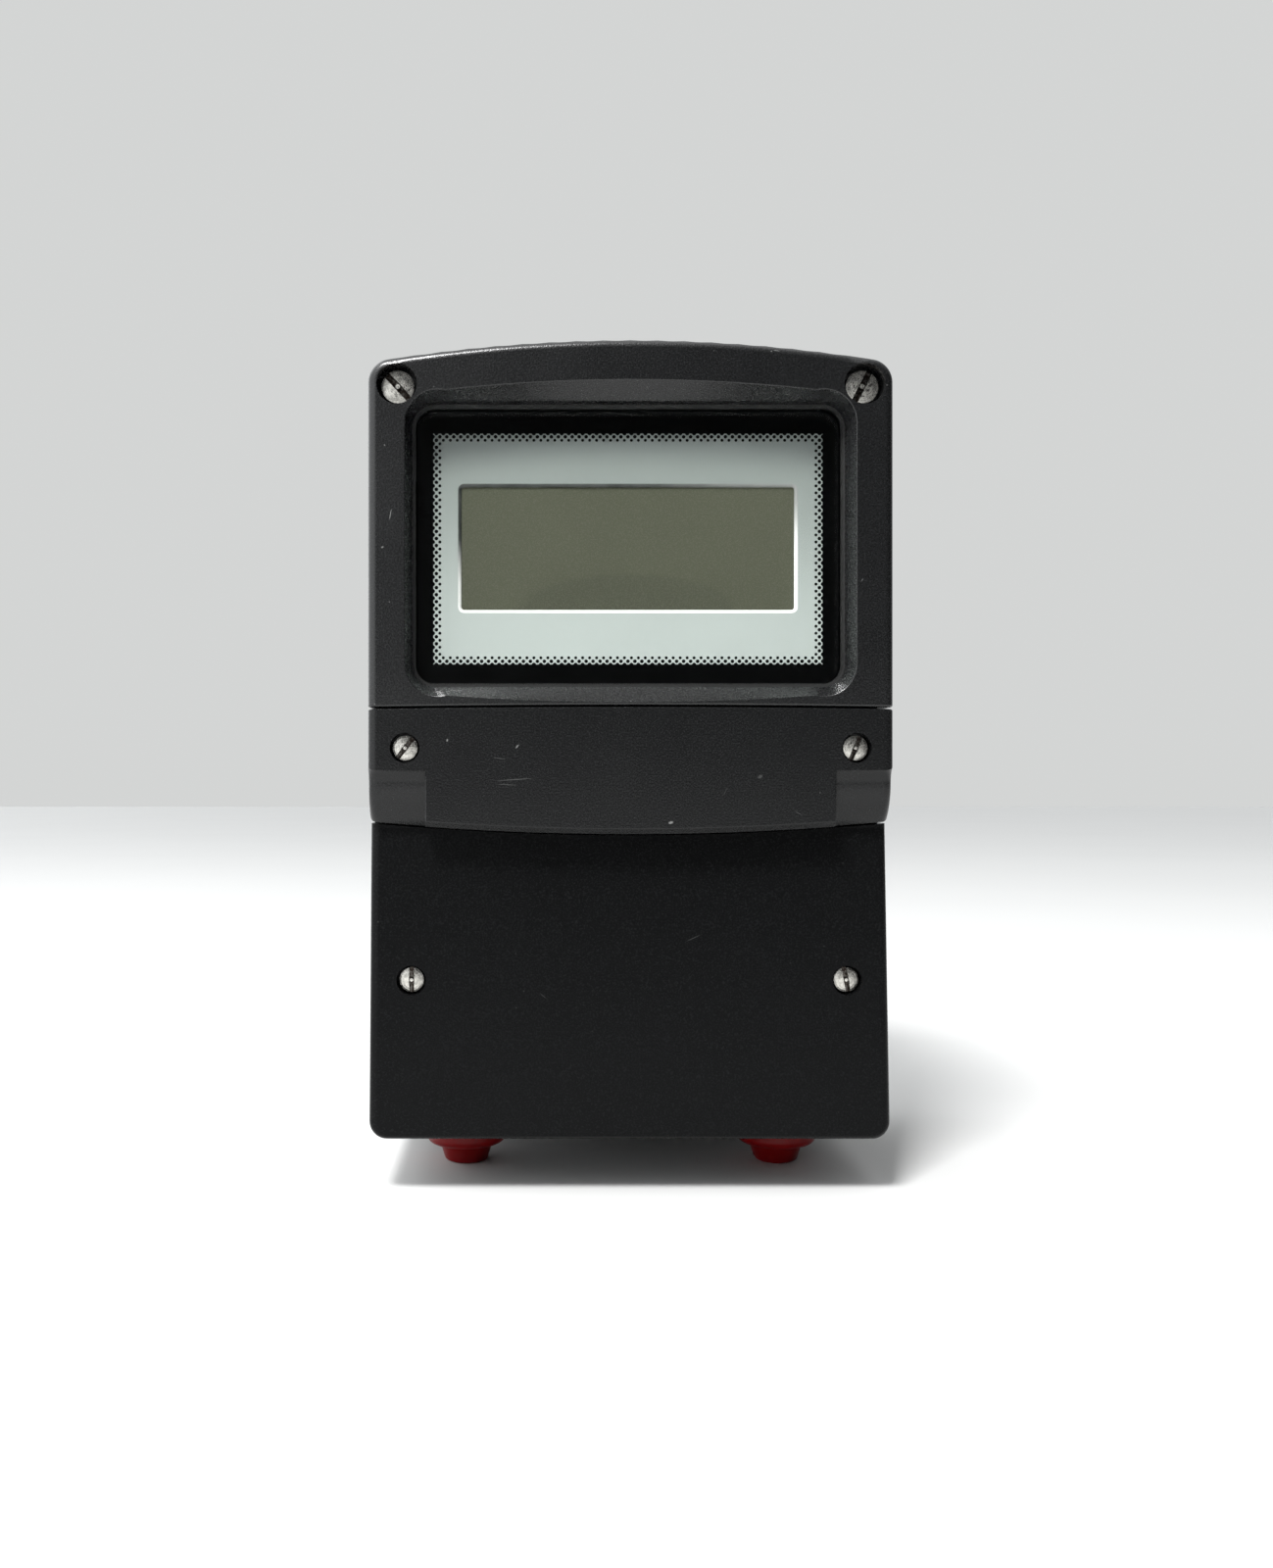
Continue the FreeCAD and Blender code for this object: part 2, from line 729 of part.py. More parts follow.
def wall_plate():
    plate = body("wall_plate")
    sheet_outline = front_sketch(plate, "plate_outline", BACK)
    high = f"({CROWN} + plate_ear)"
    rectangle(sheet_outline, "-plate_width / 2", "plate_width / 2", "0", high)
    pad(plate, "plate", sheet_outline, "plate_thick")
    dress(plate, "Fillet", "plate_corners", "plate_corner", along_y)
    holes = front_sketch(plate, "mount_hole_outline", BACK)
    for x in ("(mount_across / 2)", "(-mount_across / 2)"):
        for z in ("mount_inset", f"({high} - mount_inset)"):
            circle(holes, x, z, "mount_hole")
    pocket(plate, "mount_holes", holes, "plate_thick + 1")
    screw_holes = front_sketch(plate, "screw_hole_outline", BACK)
    for x, z in plate_screw_places():
        circle(screw_holes, x, z, "plate_screw_hole")
    pocket(plate, "screw_holes", screw_holes, "plate_thick + 1")
    hole_width = value("plate_screw_hole")
    dress(plate, "Chamfer", "countersinks", "(plate_screw_head - plate_screw_hole) / 2 + 0.4",
          lambda edge: in_plane_y(PLATE_BACK)(edge) and near(edge.XLength, hole_width))


def wall_plate_screws():
    screws = []
    for number, (x, z) in enumerate(plate_screw_places()):
        name = f"plate_screw_{number}"
        head = cone(f"{name}_head", x, PLATE_BACK, z, "plate_screw_head", "plate_screw_shank",
                    "plate_screw_head_tall", "forward")
        shank = rod(f"{name}_shank", x, f"{PLATE_BACK} - 1", z, "plate_screw_shank", "plate_screw_long - 1")
        slot = box(f"{name}_slot", f"{x} - plate_screw_head", f"{PLATE_BACK} - 1",
                   f"{z} - plate_screw_slot / 2", "2 * plate_screw_head", "2", "plate_screw_slot")
        screws.append(cut(name, fuse(f"{name}_blank", [head, shank]), [slot]))
    group("wall_plate_screws", screws)


# ---------------------------------------------------------------- covers

def display_cover():
    cover = body("display_cover")
    seam = f"({UPPER_SEAM_SIDE} + upper_gap / 2)"
    outer = outline(front_sketch(cover, "cover_outline", FRONT), [
        (f"-{HALF}", seam, "-upper_seam_radius"),
        (HALF, seam),
        (HALF, SHOULDER, "crown_radius"),
        (f"-{HALF}", SHOULDER)])
    pad(cover, "cover_block", outer, f"{COVER_RIM} - {FRONT}")
    dress(cover, "Fillet", "cover_top_corners", "top_corner", along_y_at(HALF, SHOULDER))
    at_front = in_plane_y(FRONT)
    above_seam = value(UPPER_SEAM) + 5
    dress(cover, "Fillet", "cover_front_edge", "front_round",
          lambda edge: at_front(edge) and edge.ZMax > above_seam)
    dress(cover, "Fillet", "cover_lower_edge", "lower_edge_round",
          lambda edge: at_front(edge) and edge.ZMax < above_seam)
    cavity = upper_mouth(front_sketch(cover, "cavity_outline", COVER_RIM), "0")
    pocket(cover, "cavity", cavity, f"{COVER_RIM} - {WINDOW_BACK}", towards_front=True)
    boss(cover, "display", COVER_RIM, f"{WINDOW_BACK} - 1", "screw_bosses", webs=False)
    window_recess(cover)
    cover_screw_holes(cover, "display")


def rounded(sketch, wide, low, high, corner):
    """A rectangle with round corners, centred across; wide is half its width."""
    return outline(sketch, [
        (f"-({wide} - {corner})", low),
        (f"({wide} - {corner})", low, corner),
        (wide, f"{low} + {corner}"),
        (wide, f"{high} - {corner}", corner),
        (f"({wide} - {corner})", high),
        (f"-({wide} - {corner})", high, corner),
        (f"-{wide}", f"{high} - {corner}"),
        (f"-{wide}", f"{low} + {corner}", corner)])


def window_outline(sketch, grow="0"):
    """The window through the cover, made larger all round by a formula."""
    return rounded(sketch, f"(window_width / 2 + {grow})", f"(body_lift + window_low - {grow})",
                   f"(body_lift + window_high + {grow})", f"(window_corner + {grow})")


def recess_outline(sketch):
    """The recess at the front face: flat sides, an arched top and a bottom that arches downwards."""
    wide = "(recess_width / 2)"
    low = "(body_lift + recess_low)"
    high = "(body_lift + recess_high)"
    reach = "recess_reach"
    corner = "recess_corner"
    return outline(sketch, [
        (f"-{reach}", low, "recess_bottom_radius"),
        (reach, low, corner),
        (wide, f"{low} + {corner}"),
        (wide, f"{high} - {corner}", corner),
        (reach, high, "recess_top_radius"),
        (f"-{reach}", high, corner),
        (f"-{wide}", f"{high} - {corner}"),
        (f"-{wide}", f"{low} + {corner}", corner)])


def window_recess(cover):
    mouth = recess_outline(front_sketch(cover, "recess_mouth", FRONT))
    floor = window_outline(front_sketch(cover, "recess_floor", f"({FRONT} + recess_depth)"))
    document.recompute()
    before = cover.Shape.Volume
    recess = cover.newObject("PartDesign::SubtractiveLoft", "recess")
    recess.Profile = mouth
    recess.Sections = [floor]
    recess.Ruled = True
    document.recompute()
    if recess.Shape.Volume >= before:
        raise RuntimeError("display_cover: the recess cuts nothing")
    opening = window_outline(front_sketch(cover, "window_opening", f"({FRONT} + recess_depth - 0.5)"))
    pocket(cover, "window", opening, "window_lip + 3")
    at_front = in_plane_y(FRONT)
    reach = value("recess_width") / 2 + 0.1
    high = value(CROWN) - 5
    low = value(UPPER_SEAM) + 1
    dress(cover, "Fillet", "recess_edge", "edge_break",
          lambda edge: at_front(edge) and abs(edge.XMin) < reach and abs(edge.XMax) < reach
          and low < edge.ZMin and edge.ZMax < high)


def cover_screw_holes(cover, kind):
    size = screw_size(kind)
    seat = f"({head_seat(kind)} + ring_thick)"
    start = f"({FRONT} - 1)"
    bore(cover, kind, "screw_sinkings", start, f"{size}_sinking", f"{seat} - {start}")
    bore(cover, kind, "screw_holes", start, f"{size}_shank + shank_play", f"{COVER_RIM} - {start} + 1")


def band_cover():
    cover = body("band_cover")
    high = f"({UPPER_SEAM_SIDE} - upper_gap / 2)"
    low = f"({LOWER_SEAM_SIDE} + lower_gap / 2)"
    outer = outline(front_sketch(cover, "band_outline", FRONT), [
        (f"-{HALF}", low, "lower_seam_radius"),
        (HALF, low),
        (HALF, high, "upper_seam_radius"),
        (f"-{HALF}", high)])
    pad(cover, "band_block", outer, f"{COVER_RIM} - {FRONT}")
    band_coves(cover)
    round_band_edges(cover)
    cavity = front_sketch(cover, "cavity_outline", COVER_RIM)
    rectangle(cavity, f"-{INNER_HALF} + 4", f"{INNER_HALF} - 4",
              "body_lift + cove_bottom + 6", "body_lift + upper_partition_low")
    pocket(cover, "cavity", cavity, f"{COVER_RIM} - {FRONT} - nose_step - wall_thick", towards_front=True)
    boss(cover, "band", COVER_RIM, f"({FRONT} + nose_step)", "screw_bosses", webs=False)
    cover_screw_holes(cover, "band")


def round_band_edges(cover):
    """A bevel with a round upper edge along the nose, rounds down both sides, and a crisp top edge."""
    at_front = in_plane_y(FRONT)
    nose = value("nose_half_width")
    half = value(HALF)
    seam = value(LOWER_SEAM) + 5

    def along_nose(edge):
        return at_front(edge) and edge.ZMax < seam and near(edge.XLength, 2 * nose, 0.5)

    dress(cover, "Chamfer", "nose_bevel", "nose_bevel", along_nose)
    dress(cover, "Fillet", "nose_edge", "nose_round", along_nose)
    dress(cover, "Fillet", "band_sides", "front_round",
          lambda edge: near(abs(edge.XMin), half) and near(edge.XLength, 0) and edge.ZLength > 1
          and edge.YMax < value(FRONT) + value("nose_step") + 0.05)
    dress(cover, "Chamfer", "band_top_edge", "edge_break",
          lambda edge: at_front(edge) and edge.ZMin > value(BROW_HIGH) + 5)
    nose_side_bevels(cover)
    band_lower_corners(cover)


def nose_side_bevels(cover):
    """Small bevels down the nose's upright edges, up to where the brow is too shallow for them."""
    low = f"({COVE_LOW} - 3)"
    high = f"({BROW_HIGH} - sqrt(2 * {BROW_RADIUS} * nose_side_bevel - nose_side_bevel ^ 2))"
    bevels = sketch_on(cover, "nose_side_outline", "XY_Plane", low)
    for sign in SIDES.values():
        corner = ("nose_half_width" if sign > 0 else "(-nose_half_width)", FRONT)
        inner = (f"{corner[0]} - {sign} * nose_side_bevel", FRONT)
        deep = (corner[0], f"{FRONT} + nose_side_bevel")
        outline(bevels, [inner, corner, deep] if sign > 0 else [corner, inner, deep])
    feature(cover, "Pocket", "nose_side_bevels", bevels, True, Length=f"{high} - {low}")


def band_lower_corners(cover):
    """Round both outer lower corners of the band, seen from the front, right back to the rim."""
    low = f"({LOWER_SEAM_SIDE} + lower_gap / 2)"
    inner = f"({HALF} - seam_corner)"
    drop = f"(seam_corner * {HALF} / lower_seam_radius)"
    corner = outline(front_sketch(cover, "lower_corner_outline", f"{FRONT} - 1"), [
        (inner, f"{low} - 1"),
        (f"{HALF} + 1", f"{low} - 1"),
        (f"{HALF} + 1", f"{low} + seam_corner"),
        (HALF, f"{low} + seam_corner", "-seam_corner"),
        (inner, f"{low} - {drop}")])
    made = pocket(cover, "right_lower_corner", corner, "cover_depth + 1")
    mirror = cover.newObject("PartDesign::Mirrored", "left_lower_corner")
    mirror.Originals = [made]
    mirror.MirrorPlane = ([part for part in cover.Origin.OriginFeatures if part.Role == "YZ_Plane"][0], [""])
    cover.Tip = mirror
    document.recompute()


def band_coves(cover):
    """Both ends of the band curve back in a cove to the plane of the terminal cover, under a soft brow."""
    for side, sign in SIDES.items():
        start = "nose_half_width" if sign > 0 else f"(-{HALF} - 1)"
        profile = sketch_on(cover, f"{side}_cove_profile", "YZ_Plane", start)
        outline(profile, [
            (f"{FRONT} - 1", f"{COVE_LOW} - 3"),
            (f"{FRONT} + nose_step", f"{COVE_LOW} - 3"),
            (f"{FRONT} + nose_step", COVE_LOW, f"-{COVE_RADIUS}"),
            (f"{FRONT} + brow_depth", BROW_LOW, BROW_RADIUS),
            (FRONT, BROW_HIGH),
            (f"{FRONT} - 1", BROW_HIGH)])
        feature(cover, "Pocket", f"{side}_cove", profile, True, Length=f"{HALF} - nose_half_width + 1")


def terminal_cover():
    cover = body("terminal_cover")
    face = f"({FRONT} + toe_step)"
    high = f"({LOWER_SEAM_SIDE} - lower_gap / 2)"
    outer = outline(front_sketch(cover, "cover_outline", face), [
        (f"-{HALF}", UNDERSIDE),
        (HALF, UNDERSIDE),
        (HALF, high, "-lower_seam_radius"),
        (f"-{HALF}", high)])
    pad(cover, "cover_block", outer, f"{COVER_RIM} - {face}")
    dress(cover, "Fillet", "cover_bottom_corners", "bottom_corner", along_y_at(HALF, UNDERSIDE))
    rake = sketch_on(cover, "rake_profile", "YZ_Plane", f"-{HALF} - 1")
    outline(rake, [
        (face, UNDERSIDE),
        (f"{FRONT} + nose_step", "body_lift + cove_bottom"),
        (f"{FRONT} + nose_step", "body_lift + cove_bottom + 10"),
        (face, "body_lift + cove_bottom + 10")])
    feature(cover, "Pocket", "rake", rake, True, Length="body_width + 2")
    low = value(UNDERSIDE)
    wide = value(HALF)
    behind_face = value(FRONT) + value("nose_step") + 0.5
    slope = (value("nose_step") - value("toe_step")) / value("cove_bottom")

    def on_rake(edge):
        middle_up = (edge.ZMin + edge.ZMax) / 2
        expected = value(face) + slope * (middle_up - low)
        below_top = edge.ZMin < low + value("cove_bottom") / 2
        return near((edge.YMin + edge.YMax) / 2, expected, 0.3) and edge.YMax < behind_face and below_top

    dress(cover, "Fillet", "cover_front_edge", "front_round", on_rake)
    cavity = front_sketch(cover, "cavity_outline", COVER_RIM)
    rectangle(cavity, f"-{INNER_HALF}", INNER_HALF,
              "body_lift + wall_thick", "body_lift + lower_partition_low")
    pocket(cover, "cavity", cavity, f"{COVER_RIM} - {FRONT} - nose_step - wall_thick", towards_front=True)
    boss(cover, "terminal", COVER_RIM, f"({FRONT} + nose_step + 1)", "screw_bosses")
    cover_screw_holes(cover, "terminal")


# ---------------------------------------------------------------- window

def window_lens():
    lens = body("window_lens")
    front = f"({FRONT} + recess_depth)"
    glass = window_outline(front_sketch(lens, "glass_outline", front), "(-lens_gap)")
    pad(lens, "glass", glass, f"{LENS_BACK} - {front}")
    dress(lens, "Chamfer", "glass_edge", "0.4", in_plane_y(front))
    flange = window_outline(front_sketch(lens, "flange_outline", f"({LENS_BACK} - lens_flange_thick)"),
                            "lens_flange")
    pad(lens, "flange", flange, "lens_flange_thick")


def lens_gasket():
    gasket = body("lens_gasket")
    ring = front_sketch(gasket, "gasket_outline", WINDOW_BACK)
    window_outline(ring, "lens_flange")
    window_outline(ring, "(0.1 - lens_gap)")
    pad(gasket, "gasket", ring, "lens_gasket_thick")


def printed_mask():
    mask = body("printed_mask")
    film = window_outline(front_sketch(mask, "film_outline", LENS_BACK), "(-lens_gap)")
    pad(mask, "film", film, "print_thick")
    view = display_outline(front_sketch(mask, "view_outline", LENS_BACK), "0")
    pocket(mask, "view", view, "print_thick + 1")


def display_outline(sketch, grow):
    wide = f"(display_width / 2 + {grow})"
    return rectangle(sketch, f"-{wide}", wide, f"body_lift + display_low - {grow}",
                     f"body_lift + display_high + {grow}")


# ---------------------------------------------------------------- display and circuit boards

def display_glass():
    glass = body("display_glass")
    pad(glass, "glass", display_outline(front_sketch(glass, "glass_outline", GLASS_FRONT), "display_rim"),
        "display_glass_thick")


def display_light():
    light = body("display_light")
    front = f"({GLASS_FRONT} + display_glass_thick)"
    pad(light, "light_guide", display_outline(front_sketch(light, "light_outline", front), "display_rim"),
        "display_light_thick")


def display_bezel():
    """Moulded rim round the display glass and its light guide."""
    bezel = body("display_bezel")
    rim = display_outline(front_sketch(bezel, "rim_outline", GLASS_FRONT), "display_rim + bezel_wall")
    pad(bezel, "rim", rim, f"{DISPLAY_BOARD} - {GLASS_FRONT}")
    hole = display_outline(front_sketch(bezel, "rim_hole", GLASS_FRONT), "display_rim + seal_play")
    pocket(bezel, "opening", hole, f"{DISPLAY_BOARD} - {GLASS_FRONT} + 1")


def pillar_places():
    return [(x, f"(body_lift + {z})") for x in ("(pillar_across)", "(-pillar_across)")
            for z in ("pillar_low", "pillar_high")]


def terminal_post_places():
    inset = "terminal_post_inset"
    return [(x, f"(body_lift + {z})") for x in ("(terminal_post_across)", "(-terminal_post_across)")
            for z in (f"terminal_board_low + {inset}", f"terminal_board_high - {inset}")]


def board(name, width, low, high, front, places):
    made = body(name)
    half = f"({width} / 2)"
    blank = front_sketch(made, "board_outline", front)
    rectangle(blank, f"-{half}", half, f"body_lift + {low}", f"body_lift + {high}")
    pad(made, "board", blank, "board_thick")
    holes = front_sketch(made, "fixing_outline", front)
    for x, z in places:
        circle(holes, x, z, "fixing_hole")
    pocket(made, "fixing_holes", holes, "board_thick + 1")


def threaded_hole(name, x, end, z):
    """A cutter for the blind hole in a spacer's front end."""
    return rod(name, x, f"{end} + fixing_thread_long", z, "fixing_bore", "fixing_thread_long + 1")


def posts(name, places, start, length):
    """Round spacers with a blind threaded hole in their front end."""
    made = []
    for number, (x, z) in enumerate(places):
        spacer = rod(f"{name}_{number}_blank", x, start, z, "post_width", length)
        hole = threaded_hole(f"{name}_{number}_hole", x, f"{start} - {length}", z)
        made.append(cut(f"{name}_{number}", spacer, [hole]))
    group(name, made)


def board_screws(name, places, front):
    """Pan-head screws on a board's front face, slotted."""
    made = []
    for number, (x, z) in enumerate(places):
        head = rod(f"{name}_{number}_head", x, front, z, "board_screw_head", "board_screw_tall")
        shank = rod(f"{name}_{number}_shank", x, f"{front} - 1", z, "fixing_thread",
                    "1 + board_thick + fixing_thread_long - 1.5", "backward")
        slot = box(f"{name}_{number}_slot", f"{x} - board_screw_head", f"{front} - board_screw_tall - 1",
                   f"{z} - board_screw_slot / 2", "2 * board_screw_head", "2", "board_screw_slot")
        made.append(cut(f"{name}_{number}", fuse(f"{name}_{number}_blank", [head, shank]), [slot]))
    group(name, made)


def display_pillars():
    """Long spacers whose studs pass through the main board into the short posts behind it."""
    made = []
    length = f"({BOARD} - {DISPLAY_BOARD} - board_thick)"
    for number, (x, z) in enumerate(pillar_places()):
        name = f"pillar_{number}"
        spacer = rod(f"{name}_spacer", x, BOARD, z, "post_width", length)
        stud = rod(f"{name}_stud", x, f"{BOARD} - 1", z, "fixing_thread", "board_thick + fixing_thread_long",
                   "backward")
        hole = threaded_hole(f"{name}_hole", x, f"{BOARD} - {length}", z)
        made.append(cut(name, fuse(f"{name}_blank", [spacer, stud]), [hole]))
    group("display_pillars", made)


CORE_DEEP = f"({BOARD} - core_behind)"
CORE_UP = "(body_lift + core_up)"
CORE_WIDE = "(4 * core_limb + core_leg)"


def middle_block(name, wide, deep, tall, across="core_across"):
    """A block about the middle of the transformer, or moved across from it."""
    return box(name, f"{across} - ({wide}) / 2", f"{CORE_DEEP} - ({deep}) / 2", f"{CORE_UP} - ({tall}) / 2",
               wide, deep, tall)


def transformer():
    """Laminated core with two windows, and the winding round its middle leg."""
    core = middle_block("core_block", CORE_WIDE, "core_stack", "core_tall")
    windows = [middle_block(f"core_window_{side}", "core_limb", "core_stack + 2", "core_window_tall",
                            f"core_across + {sign} * (core_leg + core_limb) / 2")
               for side, sign in SIDES.items()]
    node(cut("transformer_core", core, windows), "transformer_core")
    coil = middle_block("coil_block", "core_leg + 2 * core_limb - 2 * coil_play",
                        "core_stack + 2 * coil_swell", "core_window_tall - 2 * coil_play")
    leg = middle_block("coil_hole", "core_leg + 2 * coil_bore_play", "core_stack + 2 * coil_bore_play",
                       "core_window_tall + 2")
    round_coil = soften("coil_rounded", coil, 3.0,
                        lambda edge: near(edge.XLength, 0) and near(edge.YLength, 0))
    node(cut("transformer_winding", round_coil, [leg]), "transformer_winding")


def relays():
    made = []
    for number in range(2):
        low = f"(body_lift + relay_low + {number} * relay_pitch)"
        block = box(f"relay_{number}_block", "relay_left", f"{BOARD} - relay_deep", low,
                    "relay_wide", "relay_deep", "relay_tall")
        made.append(soften(f"relay_{number}", block, 0.8, lambda edge: edge.YMax < value(BOARD) - 1))
    group("relays", made)


def filter_capacitors():
    """Electrolytic cans with a crimp groove near the board."""
    made = []
    for number in range(3):
        name = f"capacitor_{number}"
        up = f"(body_lift + can_low + {number} * can_pitch)"
        can = rod(f"{name}_can", "can_across", BOARD, up, "can_width", "can_tall")
        outer = rod(f"{name}_outer", "can_across", f"{BOARD} - 3", up, "can_width + 1", "1")
        inner = rod(f"{name}_inner", "can_across", f"{BOARD} - 2.5", up, "can_crimp", "2")
        made.append(cut(name, can, [cut(f"{name}_crimp", outer, [inner])]))
    group("filter_capacitors", made)


CHIPS = (
    # left, low, wide and tall, on the main board
    (18, 138, 12, 10),
    (34, 136, 9, 12),
    (-34, 136, 16, 8),
)
DISPLAY_CHIP = (-9, 158, 18, 10)


def board_chips():
    made = []
    for number, (left, low, wide, tall) in enumerate(CHIPS):
        made.append(box(f"chip_{number}", left, f"{BOARD} - chip_deep", f"body_lift + {low}",
                        wide, "chip_deep", tall))
    left, low, wide, tall = DISPLAY_CHIP
    made.append(box("display_chip", left, f"{DISPLAY_BOARD} + board_thick", f"body_lift + {low}",
                    wide, "chip_deep", tall))
    group("board_chips", made)


LINK_DEEP = f"({BOARD} - link_behind)"
LINK_LOW = "(body_lift + terminal_board_high - link_bite)"
LINK_HIGH = "(body_lift + main_board_low + link_bite)"
RIBBON_UP = "(body_lift + ribbon_up)"


def board_connectors():
    """Plug sockets: two for the link between the boards, two for the ribbon to the display board."""
    link_front = f"({LINK_DEEP} - link_socket_front)"
    made = []
    for name, low in (("lower", f"{LINK_LOW} - socket_tall"), ("upper", LINK_HIGH)):
        made.append(box(f"{name}_link_socket", "-link_socket_wide / 2", link_front, low,
                        "link_socket_wide", f"{BOARD} - {link_front}", "socket_tall"))
    for name, front, low in (("main", f"{BOARD} - ribbon_socket_deep", f"{RIBBON_UP} + ribbon_rise"),
                             ("display", f"{DISPLAY_BOARD} + board_thick", RIBBON_UP)):
        made.append(box(f"{name}_ribbon_socket", "-ribbon_socket_wide / 2", front, low,
                        "ribbon_socket_wide", "ribbon_socket_deep", "socket_tall"))
    group("board_connectors", made)


def link_cable():
    cable = box("link_cable", "-link_wide / 2", LINK_DEEP, LINK_LOW,
                "link_wide", "link_thick", f"{LINK_HIGH} - {LINK_LOW}")
    node(cable, "link_cable")


def ribbon_cable():
    """Flat ribbon between the main board's socket and the display board's, gently bowed."""
    ribbon = body("ribbon_cable")
    start = f"({DISPLAY_BOARD} + board_thick + ribbon_socket_deep)"
    end = f"({BOARD} - ribbon_socket_deep)"
    profile = sketch_on(ribbon, "ribbon_profile", "YZ_Plane", "-ribbon_wide / 2")
    low = f"({RIBBON_UP} + socket_tall / 2)"
    high = f"({low} + ribbon_rise)"
    outline(profile, [
        (start, low, "-ribbon_bow"),
        (end, high),
        (end, f"{high} + ribbon_thick", "(ribbon_bow - ribbon_thick)"),
        (start, f"{low} + ribbon_thick")])
    feature(ribbon, "Pad", "ribbon", profile, False, Length="ribbon_wide")


TERMINAL_BLOCKS = {
    # node: left end, number of ways, pitch, depth, height
    "mains_terminal_block": (-47, 4, 7.5, 16, 15),
    "signal_terminal_block": (4, 8, 5, 13, 13),
}


def terminal_block(name, left, ways, pitch, deep, tall):
    """A row of screw terminals: wires enter from below and screws face the front. Returns the screws."""
    base = "(body_lift + terminal_board_low + block_rise)"
    front = f"({BOARD} - {deep})"
    up = f"({base} + {tall} / 2)"
    block = box(f"{name}_block", left, front, base, ways * pitch, deep, tall)
    tools = []
    screws = []
    for way in range(ways):
        middle = f"({left} + {pitch} * {way + 0.5})"
        screw = f"{name}_screw_{way}"
        tools.append(rod(f"{name}_wire_hole_{way}", middle, f"{BOARD} - block_wire_behind", f"{base} - 1",
                         "block_wire_hole", f"{tall} / 2 + 2", "up"))
        tools.append(rod(f"{name}_screw_hole_{way}", middle, f"{front} - 1", up, "block_screw_hole",
                         "1 + block_screw_sunk + block_screw_long", "backward"))
        head = rod(f"{screw}_blank", middle, f"{front} + block_screw_sunk", up, "block_screw",
                   "block_screw_long", "backward")
        slot = box(f"{screw}_slot", f"{middle} - block_screw", f"{front} + block_screw_sunk - 0.5",
                   f"{up} - block_slot_width / 2", "2 * block_screw", "1.3", "block_slot_width")
        screws.append(cut(screw, head, [slot]))
    node(cut(name, block, tools), name)
    return screws


def terminal_row():
    screws = []
    for name, sizes in TERMINAL_BLOCKS.items():
        screws += terminal_block(name, *sizes)
    group("terminal_block_screws", screws)


def earth_terminal():
    """Brass stud in the back wall with a washer and a nut."""
    up = "(body_lift + earth_up)"
    hole = "earth_stud + earth_play"

    def piece(name, diameter, length, forward="0"):
        return rod(name, "earth_across", f"{FLOOR} - ({forward})", up, diameter, length)

    stud = piece("earth_stud", "earth_stud", "earth_stud_long")
    washer = cut("earth_washer", piece("earth_washer_blank", "earth_washer", "earth_washer_thick"),
                 [piece("earth_washer_hole", hole, "earth_washer_thick + 2", "-1")])
    nut_blank = document.addObject("Part::Prism", "earth_nut_blank")
    nut_blank.Polygon = 6
    bind(nut_blank, Circumradius="earth_nut / 2", Height="earth_nut_tall")
    set_down(nut_blank, "earth_across", f"{FLOOR} - earth_washer_thick", up, "forward")
    nut = cut("earth_nut", nut_blank, [piece("earth_nut_hole", hole, "earth_nut_tall + 3")])
    group("earth_terminal", [stud, washer, nut])


FUSE_LOW = "(body_lift + lower_partition_high)"
FUSE_UP = f"({FUSE_LOW} + fuse_rise)"
FUSE_DEEP = f"({RIM} + fuse_behind)"


def fuse_holder():
    """Open holder on the lower partition: a base with two pairs of clips, and the fuse lying in them."""
    base = box("fuse_base", "-fuse_base_wide / 2", f"{FUSE_DEEP} - fuse_base_deep / 2", FUSE_LOW,
               "fuse_base_wide", "fuse_base_deep", "fuse_base_tall")
    clips = [box(f"fuse_clip_{side}", f"{sign} * fuse_clip_middle - fuse_clip_long / 2",
                 f"{FUSE_DEEP} - fuse_clip_wide / 2", FUSE_LOW,
                 "fuse_clip_long", "fuse_clip_wide", "fuse_clip_tall") for side, sign in SIDES.items()]
    reach = "(fuse_base_wide / 2 + 1)"
    channel = rod("fuse_channel", f"-{reach}", FUSE_DEEP, FUSE_UP, "fuse_cap_width + fuse_play",
                  f"2 * {reach}", "right")
    slit = box("fuse_slit", f"-{reach}", f"{FUSE_DEEP} - fuse_slit / 2", FUSE_UP,
               f"2 * {reach}", "fuse_slit", "fuse_clip_tall")
    node(cut("fuse_holder", fuse("fuse_holder_blank", [base] + clips), [channel, slit]), "fuse_holder")
    caps = [rod(f"fuse_cap_{side}", start, FUSE_DEEP, FUSE_UP, "fuse_cap_width", "fuse_cap_long", "right")
            for side, start in (("left", "-fuse_long / 2"), ("right", "fuse_long / 2 - fuse_cap_long"))]
    group("fuse_caps", caps)
    tube = rod("fuse_tube", "fuse_cap_long - fuse_long / 2", FUSE_DEEP, FUSE_UP, "fuse_glass_width",
               "fuse_long - 2 * fuse_cap_long", "right")
    node(tube, "fuse_tube")


# ---------------------------------------------------------------- captive screws and plugs

def revolve(owner, name, corners):
    """Revolve a half profile, given as (radius, height along the piece's own axis)."""
    profile = outline(sketch_on(owner, f"{name}_profile", "XZ_Plane", "0"), corners)
    made = owner.newObject("PartDesign::Revolution", name)
    made.Profile = profile
    made.ReferenceAxis = (profile, ["V_Axis"])
    made.Angle = 360
    document.recompute()
    return made


def cut_slot(owner, top, wide, deep, reach):
    """Screwdriver slot across the head, cut from its top."""
    slot = sketch_on(owner, "slot_outline", "XY_Plane", top)
    rectangle(slot, f"-{reach}", reach, f"-({wide}) / 2", f"({wide}) / 2")
    feature(owner, "Pocket", "slot", slot, False, Length=deep)


